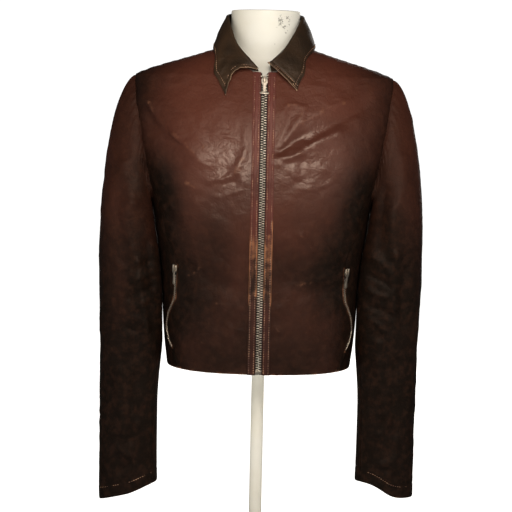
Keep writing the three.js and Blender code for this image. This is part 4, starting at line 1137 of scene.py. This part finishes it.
# Leaves the piece in edit mode with the faces selected whose middle and normal pass the test.
def editFaces(piece, test):
    pick(piece)
    bpy.ops.object.mode_set(mode="EDIT")
    bpy.ops.mesh.select_mode(type="FACE")
    bpy.ops.mesh.select_all(action="DESELECT")
    bpy.ops.object.mode_set(mode="OBJECT")
    for face in piece.data.polygons:
        face.select = bool(test(face.center / mm, face.normal))
    bpy.ops.object.mode_set(mode="EDIT")


def objectMode():
    bpy.ops.object.mode_set(mode="OBJECT")


# Draws the lower end of a bar out in steps of length and width.
def drawOut(piece, steps):
    for length, width in steps:
        low = min(v.co.y for v in piece.data.vertices) / mm
        editFaces(piece, lambda c, n: n.y < -0.9 and c.y < low + 0.01)
        bpy.ops.mesh.extrude_region_move(TRANSFORM_OT_translate={"value": (0, -length * mm, 0)})
        bpy.ops.transform.resize(value=(width, 1, 1), center_override=(0, (low - length) * mm, 0))
        objectMode()


# Cuts a window through the piece between two faces.
def window(piece, test, rim):
    editFaces(piece, test)
    bpy.ops.mesh.inset(thickness=rim * mm)
    bpy.ops.mesh.bridge_edge_loops()
    objectMode()


# Bevels every edge sharper than 35 degrees.
def roundOff(piece, width, segments=2, degrees=50):
    bevel = piece.modifiers.new("edges", "BEVEL")
    bevel.width = width * mm
    bevel.segments = segments
    bevel.limit_method = "ANGLE"
    bevel.angle_limit = math.radians(35)
    applyModifiers(piece)
    smooth(piece, degrees)


def joinTo(piece, *others):
    pick(piece)
    for other in others:
        other.select_set(True)
    bpy.ops.object.join()
    return piece


# Turns all faces of a finished piece outwards.
def faceOut(piece):
    pick(piece)
    bpy.ops.object.mode_set(mode="EDIT")
    bpy.ops.mesh.select_all(action="SELECT")
    bpy.ops.mesh.normals_make_consistent(inside=False)
    objectMode()


def placeOn(piece, matrix, material):
    piece.data.transform(matrix)
    piece.data.materials.clear()
    piece.data.materials.append(material)
    return piece


# a pull's steps: how far each is drawn out below its eye, and its width as a share of the last
hardware = {
    "sliderLift": 1.4, "sliderThick": 2, "bail": (2.6, 10, 4.3), "bailRim": 1.5, "bailWindow": 2.4,
    "pivotAlong": 2, "eye": (6.2, 7.4, 1.2), "eyeRim": 1.25,
    "main": {"halfWidth": 5, "length": 13, "hole": -12.5,
             "steps": [(2, 0.8), (7, 0.95), (4.6, 1.1), (1.2, 2.6), (2.6, 1)]},
    "pocket": {"halfWidth": 3.6, "length": 11, "hole": 0,
               "steps": [(2, 0.62), (7, 0.9), (4, 1.15), (3, 1.3), (3.3, 0.75)]},
    "pocketHeight": 463,
    "stop": (9.2, 6, 3), "stopRise": 4.5, "stopSink": 0.1,
}
pivotLift = hardware["sliderLift"] + hardware["sliderThick"] + hardware["bailWindow"] / 2


# A slider's body, wide in the middle and narrow at its ends, with the bail that holds the pull.
def slider(name, halfWidth, length):
    base = hardware["sliderLift"] + hardware["sliderThick"] / 2
    body = block(name, (0, 0, base), (2 * halfWidth, length, hardware["sliderThick"]))
    editFaces(body, lambda c, n: abs(n.x) > 0.9 or abs(n.y) > 0.9)
    bpy.ops.mesh.subdivide(number_cuts=2)
    objectMode()
    for vertex in body.data.vertices:
        share = vertex.co.y / mm / length + 0.5   # 0 at the lower end
        vertex.co.x *= 0.7 + 0.3 * min(1, share * 3) - 0.35 * max(0, share - 0.85) / 0.15
    roundOff(body, 0.5)
    bail = block(name + "Bail", (0, hardware["pivotAlong"], pivotLift + 0.35), hardware["bail"])
    window(bail, lambda c, n: abs(n.x) > 0.9, hardware["bailRim"])
    roundOff(bail, 0.45)
    return joinTo(body, bail)


# A pull, drawn out from its eye in steps, with a hole through it if its height is given.
def pull(name, steps, hole):
    piece = block(name, (0, hardware["pivotAlong"] - 3, pivotLift), hardware["eye"])
    window(piece, lambda c, n: abs(n.z) > 0.9, hardware["eyeRim"])
    drawOut(piece, steps)
    if hole:
        window(piece, lambda c, n: abs(n.z) > 0.9 and abs(c.y - hole) < 1.2 and abs(c.x) < 1, 1.0)
    roundOff(piece, 0.3)
    return piece


centre = standOff(0, zipParts["slider"])
cast = hardware["main"]
body = placeOn(slider("zip_slider", cast["halfWidth"], cast["length"]), centre, nickel)
settle(body, "jacket", "zip_metal", "zip_slider")
hook = placeOn(pull("zip_pull", cast["steps"], cast["hole"]), centre, nickel)
settle(hook, "zip_pull", "zip_metal", "zip_pull")

cast = hardware["pocket"]
for word, side in words:
    z = hardware["pocketHeight"]
    spot = standOff(side * turnAtWidth(princessSeam(z), z), z)
    body = placeOn(slider(f"pocket_slider_{word}", cast["halfWidth"], cast["length"]), spot, nickel)
    settle(body, "jacket", "zip_metal", f"pocket_slider_{word}")
    hook = placeOn(pull(f"pocket_pull_{word}", cast["steps"], cast["hole"]), spot, nickel)
    settle(hook, f"pocket_pull_{word}", "zip_metal", f"pocket_pull_{word}")

stop = block("zip_stop", (0, 0, 0), hardware["stop"])
roundOff(stop, 0.6, 3)
placeOn(stop, standOff(0, jacket["hem"] + hardware["stopRise"], -hardware["stopSink"]), nickel)
settle(stop, "jacket", "zip_metal", "zip_stop")


# Copies of one small shape set along a line and joined: each place is a matrix.
def scatter(name, pattern, places, material):
    corners = np.array([v.co for v in pattern.data.vertices])
    faces = [list(f.vertices) for f in pattern.data.polygons]
    points, joined = [], []
    for place in places:
        turn = np.array(place)
        joined += [[i + len(points) * len(corners) for i in face] for face in faces]
        points.append(corners @ turn[:3, :3].T + turn[:3, 3])
    mesh = bpy.data.meshes.new(name)
    mesh.from_pydata(np.concatenate(points).tolist(), [], joined)
    mesh.materials.append(material)
    piece = bpy.data.objects.new(name, mesh)
    bpy.context.scene.collection.objects.link(piece)
    smooth(piece, 50)
    return piece


def frameAlong(point, along, normal):
    along = Vector(along).normalized()
    across = along.cross(Vector(normal)).normalized()
    out = across.cross(along)
    return Matrix.Translation(Vector(point) * mm) @ Matrix((across, along, out)).transposed().to_4x4()


# Places at given lengths along a line of points with their normals.
def placesAlong(points, normals, runs):
    length = runAlong(points[None], 1)[0]
    along = np.gradient(points, axis=0)
    places = []
    for run in runs:
        here, ahead, out = [
            [np.interp(run, length, data[:, k]) for k in range(3)] for data in (points, along, normals)]
        places.append(frameAlong(here, ahead, out))
    return places


def throwAway(piece):
    bpy.data.objects.remove(piece, do_unlink=True)


# One zip tooth, its clamp outside and its nose over the middle of the chain.
def tooth(reach, height, thick):
    piece = block("tooth", (reach * 0.64, 0, 0), (reach * 0.72, height, thick))
    editFaces(piece, lambda c, n: n.x < -0.9)
    bpy.ops.mesh.extrude_region_move(TRANSFORM_OT_translate={"value": (-reach * 0.3 * mm, 0, 0)})
    bpy.ops.transform.resize(value=(1, 0.62, 0.7))
    objectMode()
    roundOff(piece, 0.2, 1)
    return piece


mainTooth = tooth(*zipParts["tooth"])
places = []
for i in range(int((zipParts["chainTop"] - zipParts["chainBottom"]) / zipParts["pitch"] * 2)):
    z = zipParts["chainBottom"] + i * zipParts["pitch"] / 2
    side = 1 if i % 2 else -1
    if zipParts["slider"] - 6 < z < zipParts["slider"] + 5:   # inside the slider
        continue
    place = standOff(0, z, zipParts["chainLift"] - zipParts["chainWall"] / 2)
    shift = Matrix.Translation((side * float(parted(np.array(z))) * mm, 0, 0))
    places.append(place @ shift @ Matrix.Diagonal((side, 1, 1, 1)))
chain = scatter("zip_chain", mainTooth, places, nickel)
throwAway(mainTooth)
faceOut(chain)
settle(chain, "jacket", "zip_metal", "zip_chain")

# Pocket zips: a tape down the slot with fine teeth on it.
pocket = {
    "bottom": 340, "top": 455, "cell": 2, "halfWidth": 2.1, "tapeLift": -0.9, "tapeWall": 0.7,
    "toothPitch": 3.4, "tooth": (1.2, 1.9, 1.6),
    "flat": (0.01, 0.14), "area": 0.00062,
}
for word, side in words:
    z = np.arange(pocket["bottom"], pocket["top"] + 0.1, float(pocket["cell"]))
    turn = side * turnAtWidth(princessSeam(z), z)
    points, normals = bodyPoint(turn, z), normalOf(bodyPoint, turn, z)
    across = np.cross(np.gradient(points, axis=0), normals)
    across = across / np.linalg.norm(across, axis=-1, keepdims=True) * side
    sunk = points + normals * pocket["tapeLift"]
    grid = np.stack([sunk + across * w for w in np.linspace(-pocket["halfWidth"], pocket["halfWidth"], 5)], 1)
    tape = cutPiece(f"pocket_zip_{word}", grid, tapeCotton, pocket["tapeWall"], side < 0)
    settle(tape, "jacket", "zip_metal", f"pocket_zip_{word}")
    small = tooth(*pocket["tooth"])
    total = runAlong(points[None], 1)[0][-1]
    runs = [i * pocket["toothPitch"] / 2 for i in range(int(total / pocket["toothPitch"] * 2))]
    places = [
        place @ Matrix.Diagonal((1 if i % 2 else -1, 1, 1, 1))
        for i, place in enumerate(placesAlong(points, normals, runs))
    ]
    teeth = scatter(f"pocketTeeth_{word}", small, places, nickel)
    throwAway(small)
    faceOut(teeth)
    settle(teeth, "jacket", "zip_metal")


print("stitching")
stitching = {
    "pitch": 3.7, "length": 2.8, "width": 1.1, "sink": 0.15,
    "cuffUp": 18, "cuffTop": (262, 514), "cuffUnder": (160, 256),  # height above the rim, degrees round it
    "collarRows": (0.02, 0.055), "collarEdge": 0.9,
}
bpy.ops.object.select_all(action="DESELECT")
bpy.ops.mesh.primitive_uv_sphere_add(segments=6, ring_count=5, radius=0.5)
stitch = bpy.context.object
stitch.scale = (stitching["width"] * mm, stitching["length"] * mm, stitching["width"] * mm)
bpy.ops.object.transform_apply(scale=True)


# Stitches along a line of points with their normals.
def sewLine(name, lines):
    places = []
    for points, normals in lines:
        total = runAlong(points[None], 1)[0][-1]
        places += placesAlong(points, normals, np.arange(stitching["pitch"] / 2, total, stitching["pitch"]))
    piece = scatter(name, stitch, places, thread)
    return settle(piece, "jacket", "leather_edge")


# A line of stitches along a finished piece, laid on the nearest place of its surface.
def laidOn(piece, points):
    corners = [v.co.copy() for v in piece.data.vertices]
    surface = BVHTree.FromPolygons(corners, [tuple(face.vertices) for face in piece.data.polygons])
    found = [surface.find_nearest(Vector(point) * mm) for point in points]
    normals = np.array([normal for _, normal, _, _ in found])
    return np.array([where for where, _, _, _ in found]) / mm + normals * stitching["sink"], normals


for word, side in words:
    lines = []
    for name, reach in (("sleeve_top", "cuffTop"), ("sleeve_under", "cuffUnder")):
        first, last = stitching[reach]
        angle = np.radians(np.linspace(first, last, last - first))
        rim = armPoint(angle, cuffRim(angle, side) + stitching["cuffUp"], side)
        lines.append(laidOn(bpy.data.objects[f"{name}_{word}"], rim))
    sewLine(f"cuffStitches_{word}", lines)

frontEdge = np.linspace(0.2, 0.97, 40)
lines = []
for end in (-1, 1):
    for inset in stitching["collarRows"]:
        s = np.full_like(frontEdge, end * (collar["fallReach"] - inset))
        lines.append(laidOn(fall, fallPoint(s, frontEdge)))
outerRun = np.linspace(-0.97, 0.97, 200)
lines.append(laidOn(fall, fallPoint(outerRun, np.full_like(outerRun, stitching["collarEdge"]))))
sewLine("collarStitches", lines)

for word, side in words:
    lines = []
    relief = bandRelief(side)
    for x in bandStitches:
        z = np.arange(jacket["hem"] + 2, jacket["neckFront"] - 2, 3.0)
        points, normals = skin(side * x / bodySection(z)[0], z)
        lift = zipParts["bandLift"] + relief(np.full_like(z, x), z) + stitching["sink"]
        lines.append((points + normals * lift[:, None], normals))
    sewLine(f"bandStitches_{word}", lines)

throwAway(stitch)


print("dress form")
# height, half width, depth in front, depth behind
formSection = smoothTable([
    (324, 118, 78, 68), (334, 136, 92, 82), (360, 140, 98, 87), (440, 138, 94, 79), (480, 141, 97, 82),
    (520, 147, 104, 88), (555, 152, 107, 92), (600, 161, 106, 95), (640, 172, 99, 94), (680, 181, 90, 91),
    (720, 184, 78, 84), (746, 183, 66, 76), (758, 173, 59, 71), (769, 148, 54, 67), (778, 118, 49, 63),
    (787, 88, 46, 59), (797, 62, 46, 55), (808, 54.5, 47, 53), (840, 53.5, 48, 53), (859, 53.5, 48, 53),
])
form = {
    "top": 859, "poleTop": 323.7, "pole": 10, "foot": 24, "socket": 28, "base": 140, "plate": 12,
    "torsoSides": 72, "poleSides": 64, "baseSides": 128,
}


# A tower of rings drawn up from a disc by extruding and resizing: height, half width, half depth, centre.
def ringTower(name, rows, sides):
    height, halfWidth, halfDepth, middle = rows[0]
    bpy.ops.object.select_all(action="DESELECT")
    bpy.ops.mesh.primitive_circle_add(vertices=sides, radius=1, fill_type="NGON")
    piece = bpy.context.object
    piece.name = name
    piece.location = (0, middle * mm, height * mm)
    piece.scale = (halfWidth * mm, halfDepth * mm, 1)
    bpy.ops.object.transform_apply(location=True, rotation=True, scale=True)
    bpy.ops.object.mode_set(mode="EDIT")
    bpy.ops.mesh.select_mode(type="FACE")
    bpy.ops.mesh.select_all(action="SELECT")
    for nextHeight, nextWidth, nextDepth, nextMiddle in rows[1:]:
        shift = (0, (nextMiddle - middle) * mm, (nextHeight - height) * mm)
        bpy.ops.mesh.extrude_region_move(TRANSFORM_OT_translate={"value": shift})
        bpy.ops.transform.resize(value=(nextWidth / halfWidth, nextDepth / halfDepth, 1),
                                 center_override=(0, nextMiddle * mm, nextHeight * mm))
        height, halfWidth, halfDepth, middle = nextHeight, nextWidth, nextDepth, nextMiddle
    objectMode()
    faceOut(piece)
    smooth(piece, 45)
    return piece


def roundRows(pairs):
    return [(z, radius, radius, 0) for z, radius in pairs]


def formRow(z):
    halfWidth, front, back = formSection(z)
    return z, float(halfWidth), float(front + back) / 2, float(back - front) / 2


formHeights = [324, 326, 329, 334, 341, *range(350, 730, 12), *range(730, 812, 4), 820, 840, 855]
rows = [formRow(z) for z in formHeights]
_, halfWidth, halfDepth, middle = formRow(form["top"])
rows += [
    (form["top"] - 0.8, halfWidth - 0.4, halfDepth - 0.4, middle),
    (form["top"], halfWidth - 1.6, halfDepth - 1.6, middle),
    (form["top"], 12, 12, 2),
]
torso = ringTower("form_torso", rows, form["torsoSides"])
torso.data.materials.append(formPaint)
settle(torso, "jacket", "form_body", "form_torso")

poleFoot = form["plate"] + 0.3
pole, foot, top = form["pole"], form["foot"], form["poleTop"]
poleRows = roundRows([
    (poleFoot, foot - 1), (poleFoot, foot), (14.4, foot), (15.2, foot - 0.8),
    (22, 17.5), (28, 13), (32, 10.4), (36, pole), (120, pole), (220, pole),
    (top - 14, pole), (top - 12, 10.8), (top - 5, 26), (top - 4, 27.6), (top - 3, form["socket"]),
    (top, form["socket"]),
])
post = ringTower("form_pole", poleRows, form["poleSides"])
post.data.materials.append(steelPaint)
settle(post, "jacket", "form_metal", "form_pole")

rim, plate = form["base"], form["plate"]
baseRows = roundRows([
    (0, rim - 1), (0.3, rim - 0.3), (1, rim), (plate - 3.5, rim), (plate - 1.7, rim - 0.5),
    (plate - 0.5, rim - 1.6), (plate, rim - 3), (plate, 30),
])
base = ringTower("form_base", baseRows, form["baseSides"])
base.data.materials.append(steelPaint)
settle(base, "jacket", "form_metal", "form_base")
